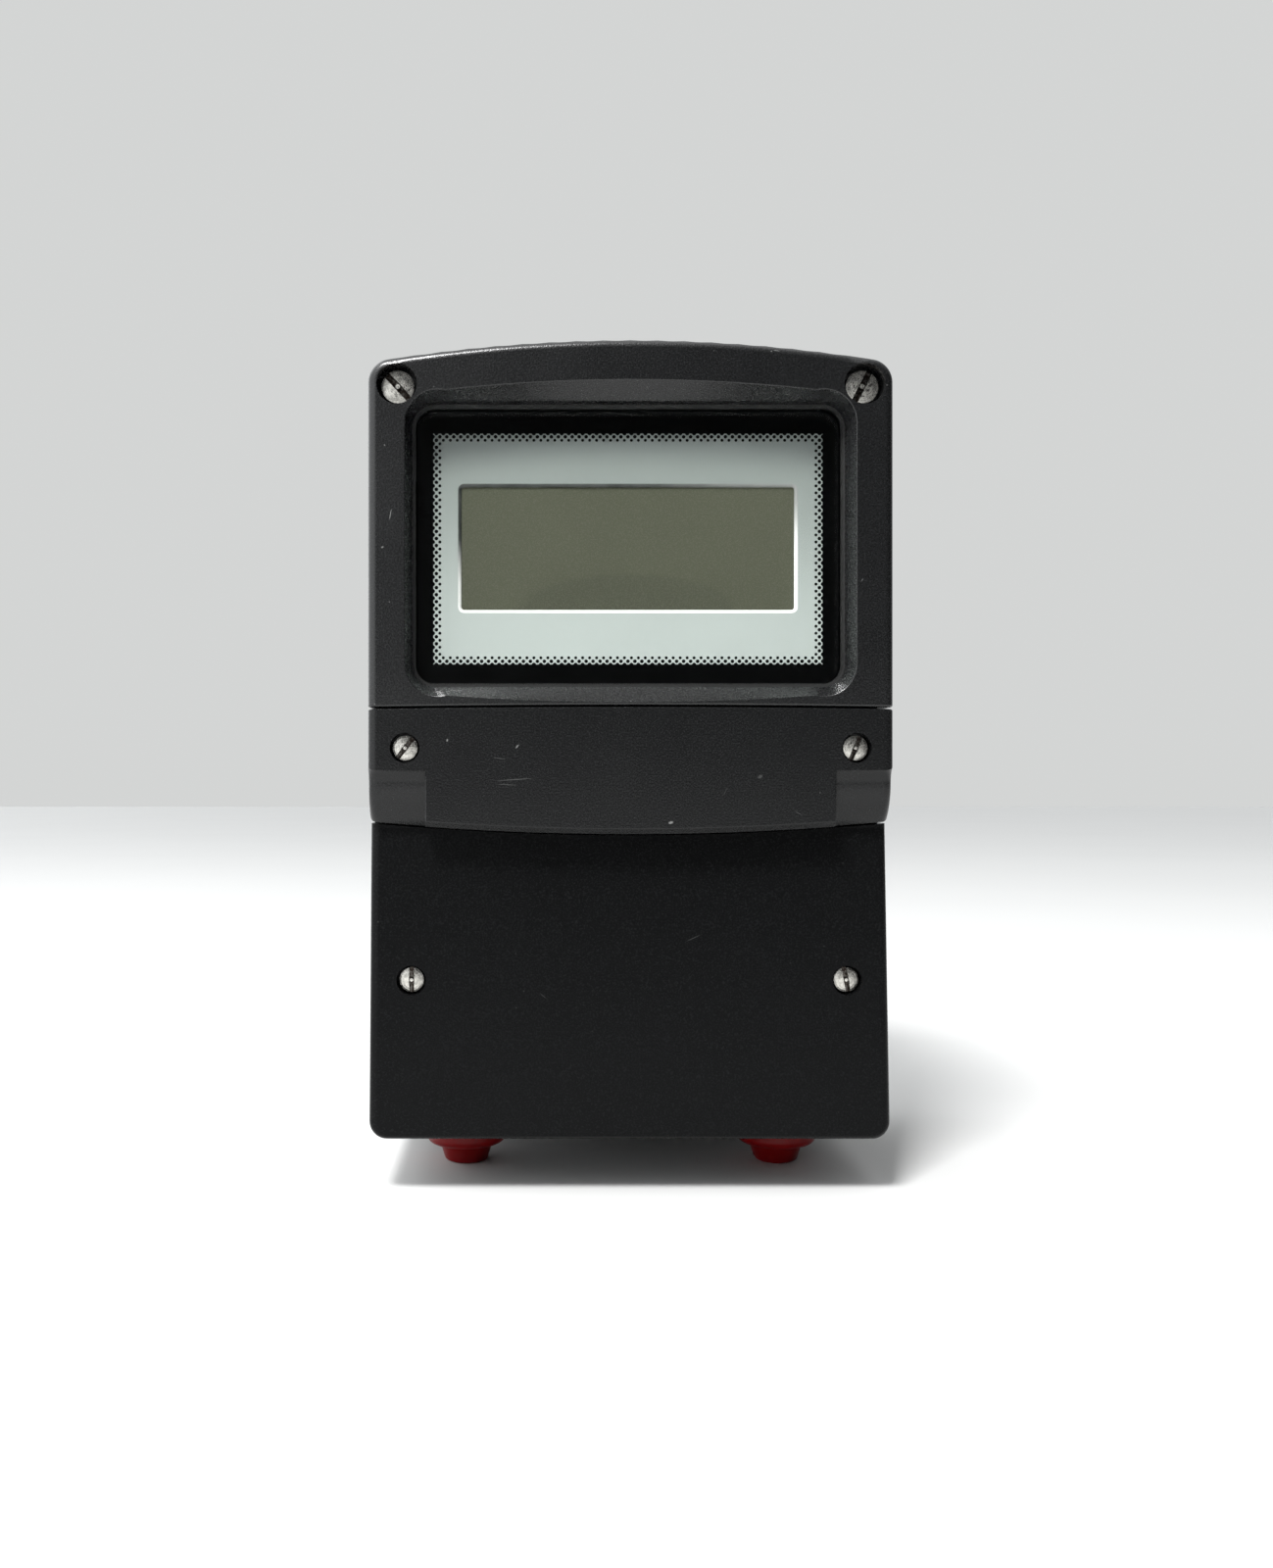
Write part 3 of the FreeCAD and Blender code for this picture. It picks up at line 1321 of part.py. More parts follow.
def cover_screw(kind, side, across, up, angle):
    size = screw_size(kind)
    seat = head_seat(kind)
    length = f"({INSERT_FACE} + thread_grip - {seat})"
    screw = body(f"{kind}_screw_{side}")
    head = f"({size}_head / 2)"
    shank = f"({size}_shank / 2)"
    tall = f"{size}_head_tall"
    dome = f"(({head} ^ 2 + head_dome ^ 2) / (2 * head_dome))"
    revolve(screw, "turned_blank", [
        ("0", f"-{length}"),
        (f"{shank} - point_bevel", f"-{length}"),
        (shank, f"point_bevel - {length}"),
        (shank, "0"),
        (head, "0"),
        (head, f"{tall} - head_dome", dome),
        ("0", tall)])
    cut_slot(screw, tall, f"slot_width * {size}_head / large_head", f"slot_deep * {size}_head / large_head",
             f"{size}_head")
    set_down(screw, across, seat, up, "forward", angle)


def screw_ring(kind, side, across, up):
    size = screw_size(kind)
    ring = body(f"{kind}_screw_ring_{side}")
    inner = f"(({size}_shank + ring_play) / 2)"
    outer = f"({size}_head / 2 - ring_play)"
    revolve(ring, "ring", [
        (inner, "-ring_thick"),
        (outer, "-ring_thick"),
        (outer, "0"),
        (inner, "0")])
    set_down(ring, across, head_seat(kind), up, "forward")


def captive_screws():
    for kind in FASTENERS:
        for side, across, up, angle in screw_places(kind):
            cover_screw(kind, side, across, up, angle)
            screw_ring(kind, side, across, up)


PLUG_SEAT = "(body_lift - collar_drop - plug_seal_tall)"


def entry_plug(side, across):
    """Blanking plug: a threaded plug, a deep round flange and a tapered cap. Heights run downwards."""
    plug = body(f"entry_plug_{side}")
    thread = "(entry_bore / 2 - thread_play)"
    flange = "(plug_flange / 2)"
    wide = "(plug_cap_wide / 2)"
    narrow = "(plug_cap_narrow / 2)"
    top = "(plug_flange_tall + plug_cap_tall)"
    length = "(plug_thread_long + plug_seal_tall)"
    corner = "plug_flange_round"
    revolve(plug, "turned_blank", [
        ("0", f"-{length}"),
        (f"{thread} - 1", f"-{length}"),
        (thread, f"1 - {length}"),
        (thread, "0"),
        (flange, "0"),
        (flange, f"plug_flange_tall - {corner}", corner),
        (f"{flange} - {corner}", "plug_flange_tall"),
        (f"{wide} + plug_cap_root", "plug_flange_tall", "-plug_cap_root_arc"),
        (f"{wide} - plug_cap_root", f"plug_flange_tall + plug_cap_shoulder", "plug_cap_arc"),
        (narrow, top),
        ("0", top)])
    cut_slot(plug, top, "plug_slot_width", "plug_slot_deep", "plug_cap_wide")
    set_down(plug, across, ENTRY_DEEP, PLUG_SEAT, "down")


def plug_seal(side, across):
    seal = body(f"plug_seal_{side}")
    inner = "(entry_bore / 2 + seal_play)"
    outer = "(plug_flange / 2 - ring_play)"
    revolve(seal, "ring", [(inner, "0"), (outer, "0"), (outer, "plug_seal_tall"), (inner, "plug_seal_tall")])
    set_down(seal, across, ENTRY_DEEP, PLUG_SEAT, "up")


def plugs():
    for side, across in entry_places():
        entry_plug(side, across)
        plug_seal(side, across)


# ---------------------------------------------------------------- making and checking

def build():
    rear_housing()
    seals()
    cover_screw_inserts()
    wall_plate()
    wall_plate_screws()
    display_cover()
    band_cover()
    terminal_cover()
    window_lens()
    lens_gasket()
    printed_mask()
    display_glass()
    display_light()
    display_bezel()
    board("main_board", "main_board_width", "main_board_low", "main_board_high", BOARD, pillar_places())
    board("display_board", "display_board_width", "display_board_low", "display_board_high",
          DISPLAY_BOARD, pillar_places())
    board("terminal_board", "terminal_board_width", "terminal_board_low", "terminal_board_high",
          BOARD, terminal_post_places())
    posts("main_board_posts", pillar_places(), FLOOR, "(board_gap)")
    posts("terminal_board_posts", terminal_post_places(), FLOOR, "(board_gap)")
    display_pillars()
    board_screws("display_board_screws", pillar_places(), DISPLAY_BOARD)
    board_screws("terminal_board_screws", terminal_post_places(), BOARD)
    transformer()
    relays()
    filter_capacitors()
    board_chips()
    board_connectors()
    link_cable()
    ribbon_cable()
    terminal_row()
    earth_terminal()
    fuse_holder()
    captive_screws()
    plugs()


def check():
    """Every object has to be up to date and every piece a valid shape with a volume."""
    document.recompute()
    for thing in document.Objects:
        if "Invalid" in thing.State or "Error" in thing.State:
            raise RuntimeError(f"{thing.Label} is {thing.State}")
    for thing in NODES:
        if thing.Shape.isNull() or not thing.Shape.isValid() or thing.Shape.Volume <= 0:
            raise RuntimeError(f"{thing.Label} has no valid shape")


def export():
    os.makedirs("parts", exist_ok=True)
    for thing in NODES:
        thing.Shape.exportStep(os.path.join("parts", f"{thing.Label}.step"))


build()
check()
export()
print(f"{len(NODES)} nodes, {sum(len(thing.Shape.Solids) for thing in NODES)} solids")
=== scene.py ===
import json
import math
from collections import namedtuple

import bpy
from mathutils import Matrix, Vector


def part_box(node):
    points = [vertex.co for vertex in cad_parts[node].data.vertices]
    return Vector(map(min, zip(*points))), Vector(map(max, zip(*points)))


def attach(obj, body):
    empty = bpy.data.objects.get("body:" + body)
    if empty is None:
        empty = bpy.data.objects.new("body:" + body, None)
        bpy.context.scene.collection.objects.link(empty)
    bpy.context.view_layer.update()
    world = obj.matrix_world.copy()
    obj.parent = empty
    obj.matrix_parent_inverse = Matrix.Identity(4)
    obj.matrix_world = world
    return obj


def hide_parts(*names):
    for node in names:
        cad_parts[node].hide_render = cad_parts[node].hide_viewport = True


# A wall instrument housing with a liquid crystal display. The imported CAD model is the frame; this script
# gives each of its nodes a material, and replaces the screws, the cable entry plugs and the printed mask
# with more detailed pieces. Everything is in metres, and MM turns the object's millimetres into metres.

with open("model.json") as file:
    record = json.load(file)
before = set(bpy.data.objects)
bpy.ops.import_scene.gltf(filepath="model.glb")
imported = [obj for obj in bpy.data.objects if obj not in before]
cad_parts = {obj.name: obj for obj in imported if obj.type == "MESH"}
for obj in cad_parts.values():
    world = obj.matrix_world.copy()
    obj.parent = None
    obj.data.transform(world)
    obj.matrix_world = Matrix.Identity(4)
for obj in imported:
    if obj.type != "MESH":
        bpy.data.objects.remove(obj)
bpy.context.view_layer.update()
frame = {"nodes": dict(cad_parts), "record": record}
MM = 0.001

SIDES = ("left", "right")

# How far the printed mask covers the display glass, in from each of its edges.
DISPLAY_RIM = 2.6 * MM


# ---------------------------------------------------------------- materials

def fill(tree, socket, given):
    """Join a socket to another one, or set its value. A colour may leave out its alpha."""
    if isinstance(given, bpy.types.NodeSocket):
        tree.links.new(given, socket)
    elif isinstance(given, tuple) and len(given) == 3 and socket.type == "RGBA":
        socket.default_value = (*given, 1.0)
    else:
        socket.default_value = given


class Nodes:
    """A node tree in the making. add returns the node it makes, and the other methods return its sockets."""

    def __init__(self, tree):
        self.tree = tree
        self.tree.nodes.clear()

    def add(self, kind, inputs=None, **settings):
        node = self.tree.nodes.new(kind)
        for name, setting in settings.items():
            setattr(node, name, setting)
        for name, given in (inputs or {}).items():
            fill(self.tree, node.inputs[name], given)
        return node

    def split(self, vector):
        return self.add("ShaderNodeSeparateXYZ", {"Vector": vector}).outputs

    def math(self, operation, first, second=0.0):
        return self.add("ShaderNodeMath", {0: first, 1: second}, operation=operation).outputs[0]

    def span(self, value, low, high, start=0.0, end=1.0):
        """Start where value is low, end where it is high, and a smooth change between."""
        made = self.add("ShaderNodeMapRange", {"Value": value, "From Min": low, "From Max": high,
                                               "To Min": start, "To Max": end},
                        interpolation_type="SMOOTHSTEP")
        return made.outputs[0]

    def blend(self, share, first, second):
        """A colour that goes from first to second as share goes from 0 to 1."""
        made = self.add("ShaderNodeMix", data_type="RGBA")
        for name, given in (("Factor_Float", share), ("A_Color", first), ("B_Color", second)):
            fill(self.tree, next(s for s in made.inputs if s.identifier == name), given)
        return next(s for s in made.outputs if s.identifier == "Result_Color")


def scaled(tone, factor):
    return tuple(channel * factor for channel in tone)


# Noise seldom leaves this range.
NOISE_LOW = 0.3
NOISE_HIGH = 0.7


class Finish(Nodes):
    """One material, in the object's own coordinates."""

    def __init__(self, name):
        self.material = bpy.data.materials.new(name)
        self.material.use_nodes = True
        super().__init__(self.material.node_tree)
        self.place = self.add("ShaderNodeTexCoord").outputs["Object"]
        self.across, self.deep, self.up = self.split(self.place)

    def noise(self, size, detail, stretch=(1.0, 1.0, 1.0)):
        """Cloudy noise whose blotches are about this many metres across."""
        place = self.add("ShaderNodeMapping", {"Vector": self.place, "Scale": stretch}).outputs[0]
        made = self.add("ShaderNodeTexNoise", {"Vector": place, "Scale": 1 / size, "Detail": detail})
        return made.outputs["Fac"]

    def cells(self, size, stretch=(1.0, 1.0, 1.0), feature="F1"):
        """Distance to the points of a scattered grid, or by another feature to its edges, in cells."""
        place = self.add("ShaderNodeMapping", {"Vector": self.place, "Scale": stretch}).outputs[0]
        made = self.add("ShaderNodeTexVoronoi", {"Vector": place, "Scale": 1 / size}, feature=feature)
        return made.outputs["Distance"]

    def squares(self, first, second):
        """The sum of two squares."""
        return self.math("ADD", self.math("POWER", first, 2.0), self.math("POWER", second, 2.0))

    def waves(self, place, pitch):
        """A sine wave along place, with one crest to each pitch."""
        return self.math("SINE", self.math("MULTIPLY", place, 2 * math.pi / pitch))

    def vary(self, noise, start, end):
        """A value that follows a noise, from start where it is low to end where it is high."""
        return self.span(noise, NOISE_LOW, NOISE_HIGH, start, end)

    def mottle(self, share, tone, first, last):
        """A tone that goes from first to last times itself as share goes from 0 to 1."""
        return self.blend(share, scaled(tone, first), scaled(tone, last))

    def bump(self, height, depth, under=None):
        """A normal for a relief of this depth in metres, laid over another normal."""
        inputs = {"Height": height, "Distance": depth, "Strength": 1.0}
        if under is not None:
            inputs["Normal"] = under
        return self.add("ShaderNodeBump", inputs).outputs[0]

    def shade(self, colour, roughness, normal=None, **more):
        """The Principled surface. Words in more stand for its other inputs."""
        inputs = {"Base Color": colour, "Roughness": roughness}
        if normal is not None:
            inputs["Normal"] = normal
        inputs.update({name.replace("_", " ").title().replace("Ior", "IOR"): given
                       for name, given in more.items()})
        return self.add("ShaderNodeBsdfPrincipled", inputs).outputs[0]

    def done(self, shader):
        self.add("ShaderNodeOutputMaterial", {"Surface": shader})
        return self.material


CHARCOAL = (0.0098, 0.0102, 0.0108)
PALE_MARK = (0.17, 0.172, 0.168)

# What the charcoal moulding shows, each as its size and the depth of its relief.
FLOW_CLOUD = 26 * MM
BLOTCH, BLOTCH_DEPTH = 2.4 * MM, 0.006 * MM
GRAIN, GRAIN_DEPTH = 0.5 * MM, 0.045 * MM
MARK_EDGE, MARK_DEPTH = 0.35 * MM, 0.03 * MM
SPECK_SPACING = 7 * MM

# The larger nicks and scratches on the covers' fronts: across, up, length and width in millimetres, angle
# from level in degrees, and how plain the mark is, up to 1.
MARKS = {
    "rear_housing": (),
    "display_cover": ((-66.0, 188.0, 3.2, 0.25, 80, 0.8), (-68.2, 179.0, 0.9, 0.5, 20, 0.7),
                      (-67.6, 207.0, 0.5, 0.5, 0, 0.5), (63.5, 170.0, 1.2, 0.3, 60, 0.4),
                      (40.0, 233.0, 2.2, 0.3, -12, 0.5)),
    "band_cover": ((-50.4, 126.0, 0.9, 0.5, 85, 0.9), (-31.2, 124.3, 1.5, 0.45, 50, 0.8),
                   (-32.0, 115.2, 11.0, 0.22, 4, 0.35), (-34.0, 113.8, 6.0, 0.22, -3, 0.25),
                   (-36.0, 121.0, 4.0, 0.25, -8, 0.22), (35.5, 116.0, 1.6, 1.1, 30, 0.2),
                   (26.0, 112.0, 3.0, 0.2, 65, 0.15), (11.0, 103.4, 1.5, 0.8, 15, 0.9),
                   (46.0, 106.0, 2.8, 0.22, -30, 0.22)),
    "terminal_cover": ((18.0, 71.0, 5.0, 0.25, 25, 0.16), (-24.0, 55.0, 3.0, 0.22, -40, 0.14)),
}


def mark(finish, rough_edge, across, up, length, width, angle, strength):
    """A share that is strength on one ragged ellipse and fades to 0 round it."""
    turn = math.radians(angle)
    from_middle_x = finish.math("SUBTRACT", finish.across, across * MM)
    from_middle_z = finish.math("SUBTRACT", finish.up, up * MM)

    def along(cosine, sine, reach):
        return finish.math("ADD", finish.math("MULTIPLY", from_middle_x, cosine / (reach * MM)),
                           finish.math("MULTIPLY", from_middle_z, sine / (reach * MM)))

    distance = finish.squares(along(math.cos(turn), math.sin(turn), length / 2),
                              along(-math.sin(turn), math.cos(turn), width / 2))
    ragged = finish.math("ADD", distance, rough_edge)
    return finish.span(ragged, 1.6, 0.5, 0.0, strength)


def worn_share(finish, grain, places, wear):
    """How pale the moulding is worn: small specks scattered all over it, and the marks at their places."""
    ragged = finish.math("ADD", finish.cells(SPECK_SPACING), finish.math("MULTIPLY", grain, 0.05))
    share = finish.span(ragged, 0.066, 0.04, 0.0, wear)
    rough_edge = finish.math("MULTIPLY", finish.noise(MARK_EDGE, 3.0), 0.8)
    for place in places:
        share = finish.math("MAXIMUM", share, mark(finish, rough_edge, *place))
    return share


def moulded_housing(name, brightness, gloss, roughness, wear):
    """Charcoal moulding: a fine eroded grain, flow clouds, scattered pale specks, and its own marks."""
    finish = Finish(f"{name}_plastic")
    tone = scaled(CHARCOAL, brightness)
    clouds = finish.noise(FLOW_CLOUD, 4.0)
    blotches = finish.noise(BLOTCH, 3.0)
    grain = finish.noise(GRAIN, 2.0)
    colour = finish.mottle(clouds, tone, 0.9, 1.1)
    colour = finish.blend(finish.span(blotches, 0.42, 0.7, 0.0, 0.25), colour, scaled(tone, 1.6))
    colour = finish.blend(finish.span(grain, 0.5, 0.78, 0.0, 0.6), colour, scaled(tone, 3.4))
    share = worn_share(finish, grain, MARKS[name], wear)
    colour = finish.blend(share, colour, PALE_MARK)
    rough = finish.math("ADD", finish.vary(clouds, roughness - 0.015, roughness + 0.015),
                        finish.vary(grain, -0.03, 0.04))
    relief = finish.bump(grain, GRAIN_DEPTH)
    relief = finish.bump(blotches, BLOTCH_DEPTH, relief)
    relief = finish.bump(finish.math("MULTIPLY", share, -1.0), MARK_DEPTH, relief)
    return finish.done(finish.shade(colour, rough, relief, specular_ior_level=gloss))


def soft_rubber(name, tone):
    """Matt black rubber with a pale bloom in patches."""
    finish = Finish(name)
    bloom = finish.noise(5 * MM, 4.0)
    grain = finish.noise(0.2 * MM, 2.0)
    colour = finish.mottle(bloom, tone, 0.7, 1.5)
    rough = finish.vary(bloom, 0.62, 0.82)
    return finish.done(finish.shade(colour, rough, finish.bump(grain, 0.015 * MM)))


SCREW_DIRT = (0.022, 0.016, 0.013)


def turned_metal(name, tone, roughness, ring_pitch, dirt):
    """Lathe-turned metal with rings round its own Z axis. dirt(finish) is the share of dirt on it."""
    finish = Finish(name)
    radius = finish.math("SQRT", finish.squares(finish.across, finish.deep))
    rings = finish.waves(radius, ring_pitch)
    wobble = finish.noise(1.4 * MM, 3.0)
    scuffs = finish.noise(0.5 * MM, 4.0, (1.0, 3.0, 1.0))
    stain = finish.span(wobble, 0.42, 0.68)
    colour = finish.mottle(stain, tone, 1.05, 0.62)
    colour = finish.blend(finish.span(scuffs, 0.58, 0.7, 0.0, 0.6), colour, scaled(tone, 1.4))
    colour = finish.blend(dirt(finish), colour, SCREW_DIRT)
    rough = finish.math("ADD", roughness, finish.span(scuffs, 0.35, 0.7, -0.08, 0.16))
    relief = finish.bump(rings, 0.006 * MM)
    relief = finish.bump(scuffs, 0.03 * MM, relief)
    return finish.done(finish.shade(colour, rough, relief, metallic=1.0))


def plain_metal(name, tone, roughness, grain_stretch):
    """Plated or drawn metal, with a grain that runs along the short axis of the stretch."""
    finish = Finish(name)
    clouds = finish.noise(9 * MM, 4.0)
    grain = finish.noise(0.9 * MM, 3.0, grain_stretch)
    colour = finish.mottle(clouds, tone, 0.75, 1.15)
    rough = finish.math("ADD", roughness, finish.vary(grain, -0.07, 0.1))
    return finish.done(finish.shade(colour, rough, finish.bump(grain, 0.012 * MM), metallic=1.0))


def zinc_plate():
    """Zinc-plated sheet with a faint spangle, rolling lines and a few dull rub marks."""
    finish = Finish("zinc_plate")
    spangle = finish.cells(5 * MM)
    rolling = finish.noise(1.6 * MM, 3.0, (1.0, 1.0, 0.03))
    rubbed = finish.span(finish.noise(12 * MM, 5.0), 0.55, 0.7)
    colour = finish.blend(spangle, (0.50, 0.51, 0.52), (0.62, 0.63, 0.64))
    colour = finish.blend(rubbed, colour, (0.47, 0.475, 0.48))
    rough = finish.math("ADD", finish.vary(rolling, 0.30, 0.44),
                        finish.math("MULTIPLY", rubbed, 0.12))
    return finish.done(finish.shade(colour, rough, finish.bump(rolling, 0.01 * MM), metallic=1.0))


def plug_red():
    """Glossy red polyethylene, a little translucent, with a soft mould texture."""
    finish = Finish("plug_red")
    clouds = finish.noise(4 * MM, 3.0)
    grain = finish.noise(0.35 * MM, 2.0)
    colour = finish.blend(clouds, (0.13, 0.0004, 0.0010), (0.18, 0.0008, 0.0020))
    rough = finish.vary(clouds, 0.28, 0.42)
    return finish.done(finish.shade(colour, rough, finish.bump(grain, 0.01 * MM),
                                    subsurface_weight=0.25, subsurface_scale=1.5 * MM,
                                    subsurface_radius=(1.0, 0.12, 0.1), specular_ior_level=0.2))


CLEAR_INDEX = 1.42


def window_pane(name, tint, roughness):
    """Clear pane: it lets light through unbent and mirrors more at a glancing angle. Light that leaves the
    pane meets the inverse index, so that a pane with a front and a back stays clear at a slant."""
    finish = Finish(name)
    haze = finish.noise(22 * MM, 3.0)
    clear = finish.add("ShaderNodeBsdfTransparent", {"Color": tint}).outputs[0]
    rough = finish.vary(haze, roughness, roughness * 1.2)
    gloss = finish.add("ShaderNodeBsdfGlossy", {"Roughness": rough}).outputs[0]
    leaving = finish.add("ShaderNodeNewGeometry").outputs["Backfacing"]
    direction = finish.math("SUBTRACT", 1.0, finish.math("MULTIPLY", leaving, 2.0))
    index = finish.math("POWER", CLEAR_INDEX, direction)
    share = finish.add("ShaderNodeFresnel", {"IOR": index}).outputs[0]
    both = finish.add("ShaderNodeMixShader", {0: share, 1: clear, 2: gloss}).outputs[0]
    return finish.done(both)


def black_film():
    """Smooth black film behind the window, with hardly any gloss."""
    finish = Finish("black_film")
    haze = finish.noise(14 * MM, 3.0)
    colour = finish.blend(haze, (0.0012, 0.0013, 0.0014), (0.0016, 0.0017, 0.0018))
    rough = finish.vary(haze, 0.22, 0.26)
    return finish.done(finish.shade(colour, rough, specular_ior_level=0.1))


def silver_print_with_painted_shade(low, high):
    """Screen-printed silver ink with fine flakes, with painted shade: darker higher up, and darkest in a
    painted shadow of the recess brow along its top.
    """
    finish = Finish("silver_print_with_painted_shade")
    flakes = finish.noise(0.25 * MM, 2.0)
    clouds = finish.noise(18 * MM, 4.0)
    # Painted shade: the print goes darker higher up.
    painted_shade_rise = finish.span(finish.up, low, high)
    colour = finish.blend(painted_shade_rise, (0.455, 0.50, 0.48), (0.205, 0.231, 0.218))
    colour = finish.blend(finish.vary(clouds, 0.0, 0.06), colour, (0.29, 0.32, 0.305))
    # Painted shadow of the recess brow: a darker arc along the top of the print.
    sag = finish.math("MULTIPLY", finish.math("POWER", finish.across, 2.0), 1.1)
    painted_brow_shadow = finish.span(finish.math("ADD", finish.up, sag), high - 11 * MM, high - 1 * MM, 0.0, 0.4)
    colour = finish.blend(painted_brow_shadow, colour, (0.12, 0.132, 0.138))
    colour = finish.blend(finish.span(flakes, 0.4, 0.75, 0.0, 0.10), colour, (0.58, 0.60, 0.60))
    rough = finish.vary(flakes, 0.38, 0.55)
    return finish.done(finish.shade(colour, rough, finish.bump(flakes, 0.004 * MM)))


def opening_edge_painted_light(low, high, half):
    """Painted light and shade round the display's opening: a white painted highlight along the bottom and
    right, and dark painted shade along the top and left. The opening goes from low to high, and half its
    width is half."""
    finish = Finish("opening_edge_painted_light")
    clouds = finish.noise(6 * MM, 3.0)
    # Painted highlight along the bottom and right, painted shade along the top and left.
    from_left = finish.span(finish.across, -half, half, -0.3, 0.3)
    from_top = finish.span(finish.up, low + 0.4 * MM, high - 0.4 * MM, 1.0, 0.0)
    share = finish.math("ADD", from_left, from_top)
    colour = finish.blend(finish.span(share, 0.0, 0.9), (0.03, 0.034, 0.032), (0.93, 0.94, 0.92))
    colour = finish.blend(finish.vary(clouds, 0.0, 0.08), colour, (0.50, 0.52, 0.50))
    return finish.done(finish.shade(colour, finish.vary(clouds, 0.3, 0.45)))


# Size of the painted dark reflection on the display glass.
PAINTED_REFLECTION_WIDE = 60 * MM
PAINTED_REFLECTION_TALL = 10 * MM


def display_glass(low):
    """Grey-olive liquid crystal glass: faintly cloudy, with a fine grain. A painted dark reflection, half an
    ellipse, stands on low, the bottom of the part in view."""
    finish = Finish("display_glass")
    clouds = finish.noise(35 * MM, 3.0)
    grain = finish.noise(0.3 * MM, 2.0)
    colour = finish.blend(clouds, (0.078, 0.082, 0.058), (0.091, 0.0955, 0.0675))
    # Painted reflection: a darker half ellipse standing on the bottom of the view.
    aside = finish.math("MULTIPLY", finish.across, 2 / PAINTED_REFLECTION_WIDE)
    above = finish.math("MULTIPLY", finish.math("SUBTRACT", finish.up, low), 1 / PAINTED_REFLECTION_TALL)
    painted_reflection = finish.span(finish.squares(aside, above), 1.15, 0.85, 0.0, 0.3)
    colour = finish.blend(painted_reflection, colour, (0.045, 0.048, 0.036))
    colour = finish.blend(finish.vary(grain, 0.0, 0.12), colour, (0.12, 0.125, 0.098))
    rough = finish.vary(grain, 0.22, 0.3)
    relief = finish.bump(grain, 0.002 * MM)
    return finish.done(finish.shade(colour, rough, relief, specular_ior_level=0.3))


def light_guide():
    """Milky acrylic with a grid of light-scattering dots."""
    finish = Finish("light_guide")
    pitch = 1.6 * MM
    rows = finish.waves(finish.up, pitch)
    columns = finish.waves(finish.across, pitch)
    dots = finish.span(finish.math("MULTIPLY", rows, columns), 0.5, 0.7)
    colour = finish.blend(dots, (0.66, 0.70, 0.68), (0.88, 0.90, 0.88))
    rough = finish.span(dots, 0.0, 1.0, 0.2, 0.5)
    return finish.done(finish.shade(colour, rough, transmission_weight=0.2))


def circuit_board():
    """Green solder mask over copper tracks, with tinned pads in a loose grid."""
    finish = Finish("circuit_board")
    weave = finish.noise(0.8 * MM, 2.0)
    courses = finish.cells(3.2 * MM, (1.0, 1.0, 0.35), "DISTANCE_TO_EDGE")
    tracks = finish.span(courses, 0.08, 0.05)
    spots = finish.cells(4.5 * MM)
    pads = finish.span(spots, 0.16, 0.13)
    colour = finish.blend(weave, (0.012, 0.105, 0.045), (0.018, 0.135, 0.06))
    colour = finish.blend(tracks, colour, (0.035, 0.22, 0.10))
    colour = finish.blend(pads, colour, (0.62, 0.62, 0.58))
    relief = finish.bump(finish.math("ADD", tracks, pads), 0.035 * MM)
    return finish.done(finish.shade(colour, finish.span(pads, 0.0, 1.0, 0.28, 0.4), relief,
                                    metallic=finish.math("MULTIPLY", pads, 0.9)))


def laminated_core():
    """Edges of stacked steel sheets, varnished, with a little rust between them."""
    finish = Finish("laminated_core")
    sheets = finish.waves(finish.deep, 0.5 * MM)
    rust = finish.span(finish.noise(2.5 * MM, 5.0), 0.55, 0.72)
    colour = finish.blend(finish.span(sheets, -1.0, 1.0), (0.10, 0.10, 0.11), (0.30, 0.30, 0.31))
    colour = finish.blend(rust, colour, (0.16, 0.07, 0.03))
    return finish.done(finish.shade(colour, finish.span(rust, 0.0, 1.0, 0.38, 0.7),
                                    finish.bump(sheets, 0.05 * MM), metallic=0.7))


def winding_tape():
    """Turns of glossy yellow film tape, each lap a little proud of the last."""
    finish = Finish("winding_tape")
    laps = finish.math("FRACT", finish.math("MULTIPLY", finish.up, 1 / (5.5 * MM)))
    creases = finish.noise(3 * MM, 4.0, (1.0, 1.0, 0.4))
    colour = finish.blend(finish.span(laps, 0.9, 1.0), (0.62, 0.40, 0.05), (0.36, 0.20, 0.02))
    colour = finish.blend(finish.span(creases, 0.4, 0.75, 0.0, 0.4), colour, (0.80, 0.58, 0.14))
    relief = finish.bump(finish.math("ADD", laps, creases), 0.12 * MM)
    return finish.done(finish.shade(colour, 0.28, relief))


def striped_sleeve():
    """Dark shrink sleeve with a pale stripe down its side."""
    finish = Finish("striped_sleeve")
    folds = finish.noise(1.5 * MM, 3.0)
    aside = finish.math("ABSOLUTE", finish.math("SUBTRACT", finish.across, 3.5 * MM))
    stripe = finish.span(aside, 1.3 * MM, 1.1 * MM)
    colour = finish.blend(stripe, (0.012, 0.014, 0.03), (0.5, 0.5, 0.48))
    return finish.done(finish.shade(colour, finish.vary(folds, 0.25, 0.4),
                                    finish.bump(folds, 0.03 * MM)))


def ribbon_grey():
    """Flat cable: round cores side by side, with one edge core red."""
    finish = Finish("ribbon_grey")
    cores = finish.waves(finish.across, 1.27 * MM)
    red_core = finish.span(finish.across, -8.9 * MM, -9.1 * MM)
    colour = finish.blend(finish.span(cores, -1.0, -0.4), (0.20, 0.20, 0.21), (0.44, 0.44, 0.45))
    colour = finish.blend(red_core, colour, (0.42, 0.02, 0.02))
    return finish.done(finish.shade(colour, 0.45, finish.bump(cores, 0.15 * MM)))


def plain_moulding(name, tone, roughness):
    """Small glossy or matt plastic mouldings."""
    finish = Finish(name)
    clouds = finish.noise(7 * MM, 3.0)
    grain = finish.noise(0.3 * MM, 2.0)
    colour = finish.mottle(clouds, tone, 0.8, 1.2)
    rough = finish.vary(grain, roughness - 0.05, roughness + 0.08)
    return finish.done(finish.shade(colour, rough, finish.bump(grain, 0.012 * MM)))


